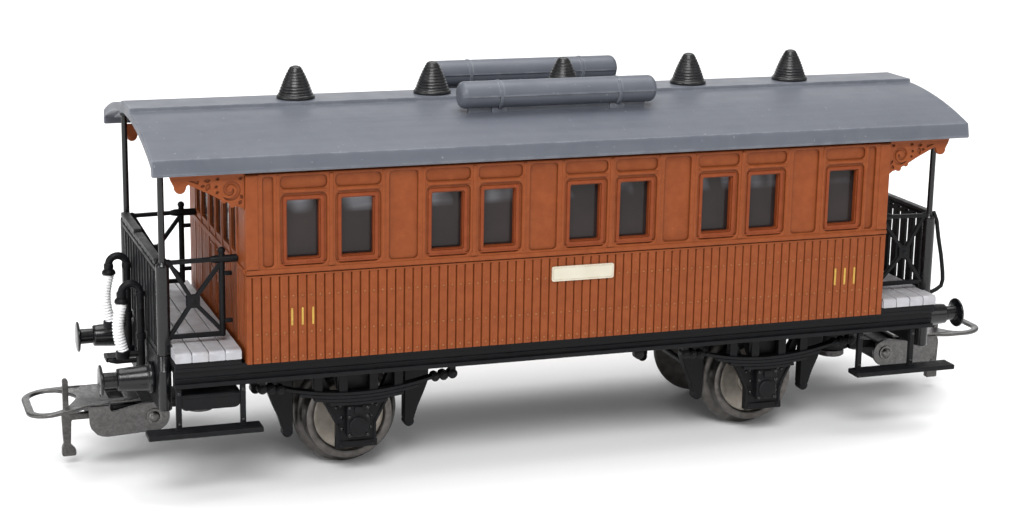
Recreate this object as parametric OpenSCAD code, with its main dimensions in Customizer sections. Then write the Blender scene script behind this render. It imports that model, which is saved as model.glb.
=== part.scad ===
// Four-wheel open-platform passenger coach, 1:87 scale, for 16.5 mm gauge track.
// X runs along the coach, Y across it (the near side is -Y), Z is up.
// Z = 0 is the bottom of the wheel flanges. Each end part is drawn at the left (-X)
// near (-Y) corner and mirrored to the other corners.

/* [Body] */
// Length of the coach body over its end walls
body_len = 83.0; // [81:0.5:85]
// Width of the coach body over its plank faces
body_wid = 35.0; // [34.6:0.1:35.2]
// Height of the body's bottom edge
body_z0 = 16.4; // [16.2:0.1:16.4]
// Height of the wall tops under the roof's eaves
wall_top = 39.8; // [39.6:0.1:39.9]
// Thickness of the moulded walls behind the panels
wall_t = 0.95; // [0.8:0.05:1.1]
// Height of the underside of the waist rail
waist_z = 27.05; // [26.9:0.05:27.2]
// Height of the waist rail's band
waist_h = 0.6; // [0.4:0.05:0.8]
// Number of planks along one side
plank_count = 76; // [60:1:90]

/* [Windows] */
// Distance from one window pair to the next
pair_pitch = 17.45; // [17.2:0.05:17.5]
// Distance between the two windows of a pair
window_pitch = 6.5; // [6.4:0.05:6.6]
// Centre of the first window
window_x0 = -34.65; // [-34.8:0.05:-34.5]
// Width of the clear opening
window_w = 4.05; // [3.8:0.05:4.2]
// Height of the clear opening
window_h = 7.1; // [6.9:0.05:7.2]
// Height of the opening's lower edge
window_z0 = 28.55; // [28.5:0.05:28.8]

/* [Roof] */
// Length of the roof over both platforms
roof_len = 104.4; // [103:0.2:106]
// Width of the roof over its eaves
roof_wid = 36.9; // [36.8:0.1:37.4]
// Radius of the roof's arch
roof_r = 53.3; // [52:0.1:55]
// Height of the top of the arch
roof_top = 44.2; // [44.0:0.1:44.4]
// Height of the lower edge of the eaves
eave_z = 39.2; // [39.1:0.05:39.3]
// Half width of the raised ridge band
ridge_hw = 3.1; // [2.8:0.1:3.4]
// Radius of one roof tank
tank_r = 1.75; // [1.6:0.05:1.9]
// Length of one roof tank over its ends
tank_len = 25.6; // [24:0.2:27]

/* [Running gear] */
// Distance between the two axles
wheelbase = 54.6; // [53:0.2:56]
// Radius of the wheel tread
tread_r = 5.5; // [5.3:0.05:5.6]
// Depth of the wheel flange below the tread
flange_h = 1.1; // [1.0:0.05:1.2]
// Distance between the inner faces of the two wheels on an axle
back_to_back = 14.4; // [14.3:0.05:14.5]
// Width of one wheel over tread and flange
wheel_w = 2.8; // [2.7:0.05:2.9]
// Radius of the axle's journal
journal_r = 0.5; // [0.4:0.05:0.6]
// Radial running clearance of journals, pivots and rivets
run_gap = 0.05; // [0.03:0.01:0.08]

/* [Underframe] */
// Length over the outer faces of the two buffer beams
beam_len = 102.4; // [102:0.2:103]
// Distance between the buffer centres
buffer_pitch = 19.8; // [19.4:0.1:20.4]
// Height of the buffer centres
buffer_z = 13.5; // [13.3:0.1:13.7]
// Length over the buffer faces
buffer_len = 115.4; // [115:0.2:116]
// Radius of a buffer head
buffer_head_r = 1.95; // [1.8:0.05:2.1]

/* [Platform] */
// Distance of the corner posts' centres from the middle of the coach
post_x = 50.4; // [50.2:0.05:50.6]
// Distance of the corner posts and gates from the centre line
post_y = 13.0; // [12.8:0.1:13.2]
// Height of the top of the end railing
rail_top = 28.6; // [28.4:0.1:28.8]
// Height of the platform floor's top
floor_z = 18.2; // [18.0:0.05:18.3]

/* [Coupler] */
// Distance of the coupler's vertical pivot from the middle of the coach
pivot_x = 44.0; // [43.5:0.1:44.5]
// Distance of the coupler's cross rivet from the middle of the coach
rivet_x = 50.3; // [50:0.1:50.6]
// Height of the coupler's cross rivet
rivet_z = 6.8; // [6.6:0.1:7.0]
// Distance of the loop's outer edge from the middle of the coach
loop_tip = 65.4; // [65:0.1:66]

/* [Hidden] */
$fn = 48;

L = -1;             // left end
R = 1;              // right end
NEAR = -1;          // near side
FAR = 1;            // far side
small_fn = 24;      // facets of small rounds
eps = 0.01;         // overlap that joins pieces of one solid

bx = body_len / 2;
by = body_wid / 2;
rx = roof_len / 2;
ry = roof_wid / 2;
axle_x = wheelbase / 2;
axle_z = flange_h + tread_r;
roof_cz = roof_top - roof_r;
roof_t = 1.0;                       // thickness of the roof sheet
eave_t = 0.85;                      // thickness of the eave band
panel_y = by - 0.35;                // outer face of the recessed panels
waist_y = by + 0.2;                 // outer face of the waist rail
plank_bottom = body_z0 + 0.5;       // lower end of the plank grooves
groove_d = 0.18;                    // depth of a plank groove
groove_w = 0.22;                    // width of a plank groove
frame_top = wall_top - 0.95;        // upper edge of the moulded side frame
recess_w = 5.5;                     // width of a window recess
recess_z0 = 27.8;                   // lower edge of the window recesses and blank panels
recess_z1 = 36.45;                  // upper edge of the window recesses
light_z0 = 36.9;                    // lower edge of the small panels over the windows
light_z1 = 38.5;                    // upper edge of the small panels
blank_w = 3.5;                      // width of a blank panel
slot_w = 1.25;                      // width of the narrow end panels
slot_x = 38.85;                     // centre of the narrow end panels
pair_count = 4;                     // whole window pairs on a side
last_x = window_x0 + pair_count * pair_pitch;   // the single last window
window_xs = concat([for (k = [0 : pair_count - 1], m = [0, 1])
    window_x0 + k * pair_pitch + m * window_pitch], [last_x]);
blank_xs = [for (k = [0 : pair_count - 1])
    window_x0 + window_pitch + k * pair_pitch + (pair_pitch - window_pitch) / 2];
vent_xs = concat([for (k = [0 : pair_count - 1])
    window_x0 + window_pitch / 2 + k * pair_pitch], [last_x + 0.5]);

solebar_z0 = 13.8;                  // underside of the solebars
solebar_y = 16.7;                   // outer face of the solebars
deck_z0 = 15.0;                     // underside of the chassis deck
beam_x = beam_len / 2;
beam_t = 1.6;                       // thickness of a buffer beam
beam_z0 = 10.3;                     // underside of a buffer beam
floor_x0 = 42.0;                    // inner edge of a platform floor
floor_x1 = 49.85;                   // outer edge of a platform floor
platform_z0 = 17.0;                 // top of the chassis under a platform floor
pivot_r = 1.0;                      // radius of the coupler's pivot post
pivot_z0 = 6.9;                     // lower end of the pivot post
hang_z = deck_z0 - 0.02;            // upper end of what hangs from the deck

// ---------- helpers ----------
module at_end(s) { if (s > 0) mirror([1, 0, 0]) children(); else children(); }
module at_side(s) { if (s > 0) mirror([0, 1, 0]) children(); else children(); }
module corner(e, s) { at_end(e) at_side(s) children(); }

// A box between two opposite corners
module span(a, b) {
    low = [for (i = [0 : 2]) min(a[i], b[i])];
    high = [for (i = [0 : 2]) max(a[i], b[i])];
    translate(low) cube(high - low);
}

// A profile in X and Z, extruded from y0 to y1
module xz(y0, y1) { translate([0, y1, 0]) rotate([90, 0, 0]) linear_extrude(y1 - y0) children(); }

// A profile in Y and Z, extruded from x0 to x1
module yz(x0, x1) {
    translate([x0, 0, 0]) rotate([90, 0, 90]) linear_extrude(x1 - x0) children();
}

// A round bar along Y
module bar_y(x, z, r, y0, y1) {
    translate([x, y1, z]) rotate([90, 0, 0]) cylinder(r = r, h = y1 - y0);
}

// A round bar along X
module bar_x(y, z, r, x0, x1) { translate([x0, y, z]) rotate([0, 90, 0]) cylinder(r = r, h = x1 - x0); }

// A flat rectangle between two corners
module rect(a, b) { translate(a) square(b - a); }

// A rectangle with round corners of radius r
module round_rect(a, b, r) {
    rect([a.x + r, a.y], [b.x - r, b.y]);
    rect([a.x, a.y + r], [b.x, b.y - r]);
    for (x = [a.x + r, b.x - r], y = [a.y + r, b.y - r]) translate([x, y]) circle(r, $fn = small_fn);
}

// A flat bar of width w from p to q
module bar2d(p, q, w) {
    d = q - p;
    translate(p) rotate(atan2(d.y, d.x)) translate([0, -w / 2]) square([norm(d), w]);
}

// Height of the arch of radius r about the roof's centre, at distance y from the centre line
function arch_z(r, y) = roof_cz + sqrt(r * r - y * y);

// ---------- roof ----------
module arch2d(r, hw, z0) {
    intersection() {
        translate([0, roof_cz]) circle(r, $fn = 180);
        rect([-hw, z0], [hw, roof_top + 1]);
    }
}

module roof_shell() color("slategray") {
    yz(-rx, rx) difference() {
        union() {
            arch2d(roof_r, ry - 0.15, eave_z);
            rect([-ry, eave_z], [ry, arch_z(roof_r, ry - 0.15) - 0.3]);
            rect([-ridge_hw, roof_top - 1], [ridge_hw, roof_top + 0.35]);
        }
        arch2d(roof_r - roof_t, ry - eave_t, eave_z - 1);
    }
}

tank_y = 8.75;                      // distance of a tank from the centre line
tank_z = 45.5;                      // height of a tank's centre
tank_band_x = 7.75;                 // distance of each strap from the tank's middle
tank_strap = 0.08;                  // how far a strap stands out of the tank
// Middle of each tank along the roof: the two are set slightly apart
function tank_x(s) = s > 0 ? 1.3 : -0.5;
tank_round = 0.85;                  // radius of a tank's end corners
module roof_tank(s) color("gray") translate([tank_x(s), 0, 0]) at_side(s) {
    half = tank_len / 2;
    translate([0, -tank_y, tank_z]) rotate([0, 90, 0]) rotate_extrude($fn = 96) {
        rect([0, -half], [tank_r - tank_round, half]);
        rect([0, tank_round - half], [tank_r, half - tank_round]);
        for (e = [L, R]) translate([tank_r - tank_round, e * (half - tank_round)]) circle(tank_round);
    }
    for (x = [-tank_band_x, tank_band_x]) {
        bar_x(-tank_y, tank_z, tank_r + tank_strap, x - 0.25, x + 0.25);
        // Saddle on the roof
        span([x - 1, -tank_y - 0.7, arch_z(roof_r, tank_y - 0.7) + 0.02], [x + 1, -tank_y + 0.7, tank_z]);
    }
}

// Stepped ventilator cone, from the widest ring up
vent_rings = [[2.35, 0.55], [2.1, 0.6], [1.8, 0.65], [1.5, 0.65], [1.2, 0.6], [0.9, 0.45]];
vent_z0 = roof_top + 0.35;
function ring_base(i) = i == 0 ? 0 : ring_base(i - 1) + vent_rings[i - 1][1];
module roof_vents() color("#202124") {
    for (x = vent_xs) translate([x, 0, vent_z0]) {
        for (i = [0 : len(vent_rings) - 1])
            translate([0, 0, ring_base(i)]) cylinder(r = vent_rings[i][0], h = vent_rings[i][1] + eps);
        translate([0, 0, ring_base(len(vent_rings)) - 0.1]) sphere(0.62, $fn = small_fn);
    }
}

// ---------- body ----------
// Upper frame of a side wall, with its sunk panels cut out
module side_frame2d() {
    difference() {
        rect([-bx, waist_z], [bx, frame_top]);
        for (x = window_xs) {
            round_rect([x - recess_w / 2, recess_z0], [x + recess_w / 2, recess_z1], 0.6);
            round_rect([x - recess_w / 2, light_z0], [x + recess_w / 2, light_z1], 0.6);
        }
        for (x = blank_xs) round_rect([x - blank_w / 2, recess_z0], [x + blank_w / 2, light_z1], 0.4);
        for (x = [-slot_x, slot_x])
            round_rect([x - slot_w / 2, recess_z0], [x + slot_w / 2, light_z1], 0.4);
    }
}

module window_holes2d(grow = 0) {
    for (x = window_xs)
        rect([x - window_w / 2 - grow, window_z0 - grow],
            [x + window_w / 2 + grow, window_z0 + window_h + grow]);
}

plank_pitch = (body_len - 1.4) / plank_count;
module side_wall() {
    // Wall behind the panels
    xz(-panel_y, -panel_y + wall_t) difference() {
        rect([-bx, body_z0], [bx, wall_top]);
        window_holes2d();
    }
    // Moulded frame round the panels
    xz(-by, -panel_y + eps) side_frame2d();
    // Thin inner frame round each window
    xz(-panel_y - 0.15, -panel_y + eps) difference() {
        window_holes2d(0.45);
        window_holes2d();
    }
    // Waist rail
    span([-bx, -waist_y, waist_z], [bx, -panel_y, waist_z + waist_h]);
    // Planking below the waist
    difference() {
        span([-bx, -by, body_z0], [bx, -panel_y + eps, waist_z + eps]);
        for (i = [0 : plank_count]) {
            x = -bx + 0.7 + i * plank_pitch;
            span([x - groove_w / 2, -by - 1, plank_bottom],
                [x + groove_w / 2, -by + groove_d, waist_z - 0.15]);
        }
    }
}

// Openings of an end wall: [centre, width] of each side light and door light
end_lights = [[-10.9, 2.4], [-6.75, 3.6], [-2.0, 2.8], [2.0, 2.8], [6.75, 3.6], [10.9, 2.4]];
end_light_z0 = 28.6;
end_light_z1 = 37.6;
module end_wall2d() {
    difference() {
        arch2d(roof_r - roof_t - 0.12, panel_y - 0.2, body_z0);
        for (l = end_lights) rect([l[0] - l[1] / 2, end_light_z0], [l[0] + l[1] / 2, end_light_z1]);
    }
}

module body_shell() color("sienna") {
    for (s = [NEAR, FAR]) at_side(s) side_wall();
    for (e = [L, R]) at_end(e) {
        yz(-bx, -bx + wall_t) end_wall2d();
        span([-bx - 0.2, -panel_y, waist_z], [-bx + eps, panel_y, waist_z + waist_h]);
    }
}

glass_t = 0.5;
module glazing_side(s) color("#4a4543") at_side(s)
    span([-38, -panel_y + wall_t + 0.05, 28.0], [38, -panel_y + wall_t + 0.05 + glass_t, 37.0]);

module glazing_ends() color("#4a4543") for (e = [L, R]) at_end(e)
    span([-bx + wall_t + 0.05, -12.6, 28.0], [-bx + wall_t + 0.05 + glass_t, 12.6, 38.2]);

// Moulded bracket between the body and the roof's eave, with a scroll sunk in its outer face
bracket_y = 17.3;
bracket_t = 0.6;
bracket_cut = 0.3;                  // depth of the sunk scroll
module bracket(e, s) color("sienna") corner(e, s) {
    top = eave_z - 0.02;
    x0 = -bx - 0.02;
    difference() {
        xz(-bracket_y, -bracket_y + bracket_t) union() {
            polygon([[x0, top], [x0 - 8.6, top], [x0 - 7.9, top - 1.5], [x0 - 6.7, top - 1.5],
                [x0 - 6.6, top - 1.2], [x0 - 3.3, top - 2.8], [x0, top - 4.5]]);
            translate([x0 - 7.3, top - 1.5]) circle(0.65);
        }
        xz(-bracket_y - 1, -bracket_y + bracket_cut) {
            translate([x0 - 1.5, top - 1.9]) difference() {
                circle(1.05);
                circle(0.6);
                rect([-1.2, -1.2], [-0.2, 0]);
            }
            for (p = [[-3.2, -1.0], [-4.2, -1.1], [-3.6, -2.0], [-5.6, -1.0], [-0.7, -3.5]])
                translate([x0 + p[0], top + p[1]]) circle(0.3, $fn = small_fn);
        }
    }
}

// Plain name plate in the middle of each side
module nameboards() color("ivory") for (s = [NEAR, FAR]) at_side(s)
    span([-4.05, -by - 0.25, 23.85], [4.0, -by, 25.7]);

// ---------- platforms ----------
board_w = 1.96;                     // width of a floor board
module platform_floor(e) color("silver") at_end(e) difference() {
    union() {
        span([-floor_x1, -16.7, platform_z0 + 0.02], [-floor_x0, 16.7, floor_z]);
        for (s = [NEAR, FAR]) {
            bar_x(s * 16.7, floor_z - 0.4, 0.4, -floor_x1, -floor_x0);
            span([-floor_x1, s * 17.1, platform_z0 + 0.02], [-floor_x0, s * 16.6, floor_z - 0.4]);
        }
    }
    // Gaps between the floor boards
    for (i = [1 : 3]) translate([-floor_x1 + board_w * i, 0, 0])
        span([-0.1, -18, floor_z - 0.18], [0.1, 18, 19]);
    // Notches that pass the corner posts
    for (s = [NEAR, FAR]) at_side(s)
        span([-floor_x1 - 1, -post_y - 1, 0], [-floor_x1 + 0.35, -post_y + 1, 19]);
}

slat_pitch = 2.05;                  // distance from one railing slat to the next
slat_w = 1.25;                      // width of a slat
rail_x = 50.75;                     // middle plane of the end railing
module end_railing(e) color("#1c1c1e") at_end(e) {
    inner_y = post_y - 0.85;
    x0 = -rail_x - 0.25;
    x1 = -rail_x + 0.25;
    for (i = [-5 : 5]) translate([0, i * slat_pitch, 0])
        span([x0, -slat_w / 2, platform_z0 + 0.3], [x1, slat_w / 2, rail_top - 0.3]);
    for (z = [platform_z0 + 0.02, 26.9]) span([x0, -inner_y, z], [x1, inner_y, z + 0.75]);
    span([x0, -inner_y, rail_top - 1.1], [x1, inner_y, rail_top - 0.3]);
    // Cap in two lengths with a step between them
    span([x0 - 0.25, -inner_y, rail_top - 0.4], [x1 + 0.25, 1.4, rail_top - 0.05]);
    span([x0 - 0.25, 2.1, rail_top - 0.4], [x1 + 0.25, inner_y, rail_top + 0.2]);
}

// Flared stay beside each post, at the right end only
module post_stay() xz(-post_y - 0.3, -post_y + 0.3) {
    pts = [[-51.0, rail_top - 0.1], [-51.6, 27.2], [-52.6, 22.5], [-53.1, 19.1], [-52.9, 18.2],
        [-51.3, 17.5]];
    for (i = [0 : len(pts) - 2]) {
        bar2d(pts[i], pts[i + 1], 0.55);
        translate(pts[i + 1]) circle(0.275, $fn = small_fn);
    }
}

post_r = 0.37;                      // radius of a corner post
post_foot_r = 0.8;                  // radius of the post's thick lower part
post_foot_z0 = platform_z0 + 0.02;   // lower end of the thick part
post_foot_z1 = rail_top - 0.9;       // shoulder of the thick part
post_top = arch_z(roof_r - roof_t, post_y + post_r) - 0.05;
gate_x = 43.45;                     // gate's hanging bar, beside the body
gate_z0 = 19.15;                    // height of the gate's bottom bar
gate_z1 = 28.15;                    // height of the gate's top bar
gate_mid = [-46.9, 23.3];           // middle of the gate's crossed braces
module side_gate(e, s) color("#1c1c1e") corner(e, s) {
    // Corner post with its thick foot, standing on the end of the buffer beam
    translate([-post_x, -post_y, 0]) {
        translate([0, 0, floor_z]) cylinder(r = post_r, h = post_top - floor_z);
        translate([0, 0, post_foot_z0]) cylinder(r = post_foot_r, h = post_foot_z1 - post_foot_z0);
        translate([0, 0, post_foot_z1]) sphere(post_foot_r);
    }
    // Gate
    xz(-post_y - 0.3, -post_y + 0.3) {
        bar2d([-post_x + 0.5, gate_z1 - 0.1], [-44.6, gate_z1], 0.5);
        rect([-44.9, gate_z1 - 0.45], [-bx - 0.02, gate_z1 + 0.45]);
        bar2d([-gate_x, gate_z0 - 0.3], [-gate_x, gate_z1 + 0.8], 0.75);
        bar2d([-post_x + 0.5, gate_z0], [-gate_x, gate_z0], 0.55);
        for (p = [[-post_x + 0.8, gate_z0 + 0.2], [-post_x + 0.8, gate_z1 - 0.2], [-gate_x, gate_z0 + 0.2],
            [-gate_x, gate_z1 - 0.2]]) bar2d(gate_mid, p, 0.5);
        rect(gate_mid - [0.75, 0.75], gate_mid + [0.75, 0.75]);
        for (z = [20.7, 26.4]) rect([-gate_x, z - 0.25], [-gate_x + 1.2, z + 0.25]);
    }
    translate([-gate_x, -post_y, gate_z1 + 1.0]) sphere(0.45, $fn = small_fn);
    if (e > 0) post_stay();
}

// ---------- chassis ----------
module chassis() color("#1c1c1e") {
    difference() {
        union() {
            span([-beam_x + beam_t, -15.2, deck_z0], [beam_x - beam_t, 15.2, body_z0]);
            for (s = [NEAR, FAR]) at_side(s) {
                // Solebar: a channel with its flanges outwards
                span([-floor_x1, -solebar_y + 0.5, solebar_z0], [floor_x1, -15.2 + eps, body_z0]);
                for (z = [solebar_z0, body_z0 - 0.6])
                    span([-floor_x1, -solebar_y, z], [floor_x1, -15.2, z + 0.6]);
            }
        }
        // Shallow recess in the underside
        span([-18, -8, deck_z0 - 1], [18, 8, body_z0 - 0.6]);
    }
    for (e = [L, R]) at_end(e) {
        // Buffer beam, with round ends that carry the corner posts
        translate([0, 0, beam_z0]) linear_extrude(platform_z0 - beam_z0) {
            rect([-beam_x, -post_y], [-beam_x + beam_t, post_y]);
            for (y = [-post_y, post_y]) translate([-beam_x + beam_t / 2, y]) circle(beam_t / 2);
        }
        // Raised part under the platform floor
        span([-floor_x1, -16.7, body_z0 - eps], [-floor_x0, 16.7, platform_z0]);
        // Draw hook bar
        bar_x(0, 12.8, 0.3, -beam_x - 3.9, -beam_x + eps);
        bar_x(0, 12.8, 0.65, -beam_x - 0.5, -beam_x + eps);
        // Pivot post of the coupler
        translate([-pivot_x, 0, pivot_z0]) cylinder(r = pivot_r, h = deck_z0 - pivot_z0 + eps);
        translate([-pivot_x, 0, 10.6]) cylinder(r = 2.2, h = deck_z0 - 10.6 + eps);
    }
    // Small boss on each solebar
    for (s = [NEAR, FAR]) bar_y(8.4, 13.3, 0.65, s > 0 ? 15.4 : -16.4, s > 0 ? 16.4 : -15.4);
}

module ballast_plate() color("dimgray")
    span([-38, -13.5, body_z0 + 0.02], [38, 13.5, body_z0 + 1.5]);

// ---------- buffers ----------
buffer_tip = buffer_len / 2;
stock_len = buffer_tip - beam_x - 2.22;     // length of the buffer's fixed barrel
module buffer(e, s) color("#1c1c1e") corner(e, s)
    translate([0, -buffer_pitch / 2, buffer_z]) rotate([0, 90, 0]) {
    translate([0, 0, -buffer_tip]) cylinder(r = buffer_head_r, h = 0.45);
    translate([0, 0, -buffer_tip]) cylinder(r = 0.95, h = 3);
    translate([0, 0, -buffer_tip + 2.2]) rotate_extrude()
        polygon([[0, 0], [1.3, 0], [1.55, 3.6], [1.9, 3.6], [1.9, stock_len], [0, stock_len]]);
}

// ---------- running gear ----------
guard_y0 = 12.2;                    // inner face of an axleguard plate
guard_y1 = 13.2;                    // outer face of an axleguard plate
box_y = 14.3;                       // outer face of an axlebox
hub_r = 1.0;                        // radius of the axle in the wheel's press fit
module axleguard(e, s) color("#1c1c1e") corner(e, s) difference() {
    union() {
        xz(-guard_y1, -guard_y0) difference() {
            translate([-axle_x, 0]) polygon([[-5.0, hang_z], [-4.4, 10.2], [-2.5, 6.6], [-2.5, 3.6],
                [2.5, 3.6], [2.5, 6.6], [4.4, 10.2], [5.0, hang_z]]);
            for (m = [-1, 1]) translate([-axle_x + m * 2.5, 0])
                polygon([[-0.4, 10.4], [0.4, 10.4], [m * 0.9 + 0.6, 12.8], [m * 0.9 - 0.6, 12.8]]);
        }
        span([-axle_x - 1.35, -box_y, axle_z - 1.3], [-axle_x + 1.35, -guard_y1 + eps, spring_z - 0.05]);
        bar_y(-axle_x, axle_z, 1.15, -box_y - 0.35, -box_y + eps);
        span([-axle_x - 0.5, -box_y - 0.3, axle_z + 1.7], [-axle_x + 0.5, -box_y + eps, axle_z + 2.7]);
    }
    bar_y(-axle_x, axle_z, journal_r + run_gap, -guard_y1 - 0.1, -guard_y0 + 1);
}

spring_y0 = 14.7;                   // outer face of a leaf spring
spring_r = 37;                      // radius of the leaves
spring_z = 9.4;                     // underside of the shortest leaf at the middle
leaf_t = 0.42;                      // thickness of one leaf
module leaf_spring(e, s) color("#1c1c1e") corner(e, s) {
    halves = [3.6, 5.6, 7.6, 9.4];
    xz(-spring_y0, -13.4) for (i = [0 : 3]) intersection() {
        translate([-axle_x, spring_z + spring_r]) difference() {
            circle(spring_r - i * leaf_t, $fn = 180);
            circle(spring_r - (i + 1) * leaf_t - eps, $fn = 180);
        }
        rect([-axle_x - halves[i], spring_z - 1], [-axle_x + halves[i], spring_z + 4]);
    }
    // Buckle
    span([-axle_x - 0.9, -spring_y0 - 0.2, spring_z + 0.12], [-axle_x + 0.9, -13.4, spring_z + 2.1]);
    // Hangers up to the solebar, with links beside the spring's eyes
    for (m = [-1, 1]) {
        eye_x = -axle_x + m * 9.6;
        eye_z = spring_z + 4 * leaf_t + 0.95;
        bar_y(eye_x, eye_z, 0.55, -spring_y0, -13.4);
        bar_y(eye_x + m * 1.1, eye_z + 0.1, 0.6, -spring_y0 + 0.1, -13.5);
        bar_y(eye_x + m * 2.2, eye_z + 0.25, 0.6, -spring_y0, -13.4);
        translate([eye_x + m * 2.2, 0, 0])
            span([-0.4, -spring_y0 + 0.1, eye_z + 0.25], [0.4, -13.5, hang_z]);
    }
    // Bump blocks under the solebar
    for (x = [-5.0, -1.9, 1.9, 5.0]) translate([-axle_x + x, 0, 0])
        span([-0.55, -14.4, spring_z + 1.5], [0.55, -13.4, hang_z]);
}

// Brake blocks, hangers and cross beams of one axle
shoe_gap = 0.4;                     // gap between a brake block and the tread
shoe_t = 2.1;                       // thickness of a brake block
brake_foot_z = 5.05;                // height of the middle of the hanger plate's foot
module brake_gear(e) color("#1c1c1e") at_end(e) for (m = [-1, 1]) {
    for (s = [NEAR, FAR]) at_side(s) {
        xz(-9.9, -8.4) intersection() {
            translate([-axle_x, axle_z]) difference() {
                circle(tread_r + shoe_gap + shoe_t);
                circle(tread_r + shoe_gap);
            }
            translate([-axle_x + m * 7, axle_z - 0.3]) square([5, 4.4], center = true);
        }
        // Hanger plate in the wheel's plane, with a rounded foot
        xz(-9.9, -8.4) {
            translate([-axle_x + m * 7.6, 0]) polygon([[m * 2.7, hang_z], [m * -0.55, hang_z],
                [m * -0.55, brake_foot_z], [m * 0.7, brake_foot_z], [m * 1.2, 7], [m * 2.5, 10.2]]);
            translate([-axle_x + m * 7.7, brake_foot_z]) circle(0.65);
        }
    }
    bar_y(-axle_x + m * 7.7, axle_z + 1.6, 0.4, -9.6, 9.6);
}

module axle(e) color("silver") at_end(e) {
    bar_y(-axle_x, axle_z, hub_r, -10.9, 10.9);
    bar_y(-axle_x, axle_z, journal_r, -guard_y1 + 0.05, guard_y1 - 0.05);
}

wheel_y0 = back_to_back / 2;        // inner face of a wheel
module wheel(e, s) color("#8d8a85") corner(e, s) {
    translate([-axle_x, -wheel_y0, axle_z]) rotate([90, 0, 0]) rotate_extrude($fn = 96)
        polygon([[hub_r, 0], [tread_r + flange_h - 0.2, 0], [tread_r + flange_h, 0.3],
            [tread_r + flange_h - 0.15, 0.7], [tread_r + 0.1, 1.0], [tread_r, 1.2], [tread_r, wheel_w],
            [tread_r - 1.0, wheel_w], [tread_r - 1.2, wheel_w - 0.5], [2.0, wheel_w - 0.5],
            [1.8, wheel_w], [hub_r, wheel_w]]);
}

// ---------- couplers ----------
cheek_y = 4.3;                      // outer face of the loop's cheeks
cheek_t = 0.4;                      // thickness of a cheek
plate_top = 8.9;                    // top of the loop's plate
plate_t = 0.45;                     // thickness of the loop's plate
rivet_r = 0.6;                      // radius of the cross rivet
block_y = cheek_y - cheek_t - 0.15; // half width of the coupler's block
module coupler_block(e) color("#202022") at_end(e) difference() {
    union() {
        xz(-block_y, block_y) round_rect([-55.6, 5.6], [-48.6, 8.3], 0.9);
        span([-49, -2.6, 7.2], [-pivot_x, 2.6, 8.3]);
        translate([-pivot_x, 0, 7.2]) cylinder(r = 2.6, h = 3.2);
    }
    translate([-pivot_x, 0, 5]) cylinder(r = pivot_r + run_gap, h = 8);
    bar_y(-rivet_x, rivet_z, rivet_r, -6, 6);
}

module coupler_rivet(e) color("silver") at_end(e) {
    bar_y(-rivet_x, rivet_z, rivet_r, -cheek_y - 0.02, cheek_y + 0.02);
    for (s = [NEAR, FAR]) at_side(s) bar_y(-rivet_x, rivet_z, 1.0, -cheek_y - 0.4, -cheek_y - 0.02);
}

loop_r = 2.9;                       // radius of the loop's outer corners
loop_hw = 5.4;                      // half width of the loop
loop_bar = 0.95;                    // width of the loop's bar
bend_x = 58.2;                      // where the loop leaves its plate
slot_x0 = 55.6;                     // front end of the slots between the plate and the cheeks
plate_y = 3.4;                      // half width of the plate between the slots
cheek_r = 1.9;                      // radius of a cheek's round end
// How far the loop's tip lies below its plate: the two loops are not bent quite alike
function tip_drop(e) = e > 0 ? -0.4 : 0.7;

// The loop's bar in plan: a D that narrows to the plate
module d_shape2d(tip, hw, r, x1, hw1) {
    for (y = [-1, 1]) translate([-tip + r, y * (hw - r)]) circle(r);
    rect([-tip, -hw + r], [-tip + r, hw - r]);
    polygon([[-tip + r, -hw], [-tip + r, hw], [x1, hw1], [x1, -hw1]]);
}

module coupler_loop(e) color("#77736c") at_end(e) {
    // Loop and plate, pressed from one sheet with a bend between them
    intersection() {
        translate([0, 0, plate_top - 2]) linear_extrude(4) difference() {
            union() {
                d_shape2d(loop_tip, loop_hw, loop_r, -bend_x, cheek_y);
                rect([-bend_x - eps, -cheek_y], [-slot_x0, cheek_y]);
                rect([-slot_x0 - eps, -plate_y], [-51.8, plate_y]);
            }
            d_shape2d(loop_tip - loop_bar, loop_hw - loop_bar, loop_r - loop_bar, -60.6, 3.4);
            polygon([[-60.7, -3.45], [-60.7, 3.45], [-59.2, 0.6], [-59.2, -0.6]]);
            rect([-55.4, -2.2], [-53.6, 2.2]);
        }
        xz(-loop_hw - 1, loop_hw + 1) polygon([[-loop_tip, plate_top - tip_drop(e)], [-bend_x, plate_top],
            [-51, plate_top], [-51, plate_top - plate_t], [-bend_x, plate_top - plate_t],
            [-loop_tip, plate_top - tip_drop(e) - plate_t]]);
    }
    // Cheeks bent down each side, free of the plate behind the slot, with a hole for the rivet
    for (s = [NEAR, FAR]) at_side(s) xz(-cheek_y, -cheek_y + cheek_t) difference() {
        union() {
            polygon([[-bend_x, plate_top], [-58.1, 6.2], [-57.2, 4.9], [-55.9, 4.65],
                [-rivet_x, rivet_z - cheek_r], [-rivet_x, rivet_z + cheek_r], [-slot_x0, 7.8],
                [-slot_x0, plate_top]]);
            translate([-rivet_x, rivet_z]) circle(cheek_r);
        }
        translate([-rivet_x, rivet_z]) circle(rivet_r + run_gap);
    }
}

hook_x = 60.4;                      // distance of the upright hook from the middle of the coach
hook_x1 = 55.62;                    // where the hook's arm meets the block
module coupler_hook(e) color("#5f5c57") at_end(e) translate([-hook_x, 0, 0]) xz(-0.4, 0.4) {
    polygon([[-0.35, 10.8], [-0.35, 7.2], [-0.55, 6.6], [-0.5, 4.6], [-0.4, 2.8], [-0.65, 2.4],
        [-0.65, 1.3], [1.1, 1.3], [1.1, 2.1], [0.45, 2.8], [0.55, 4.6], [0.6, 5.9],
        [hook_x - hook_x1, 5.9], [hook_x - hook_x1, 6.7], [0.45, 6.8], [0.35, 7.2], [0.35, 10.8]]);
    translate([0, 10.8]) circle(0.35);
}

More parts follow.
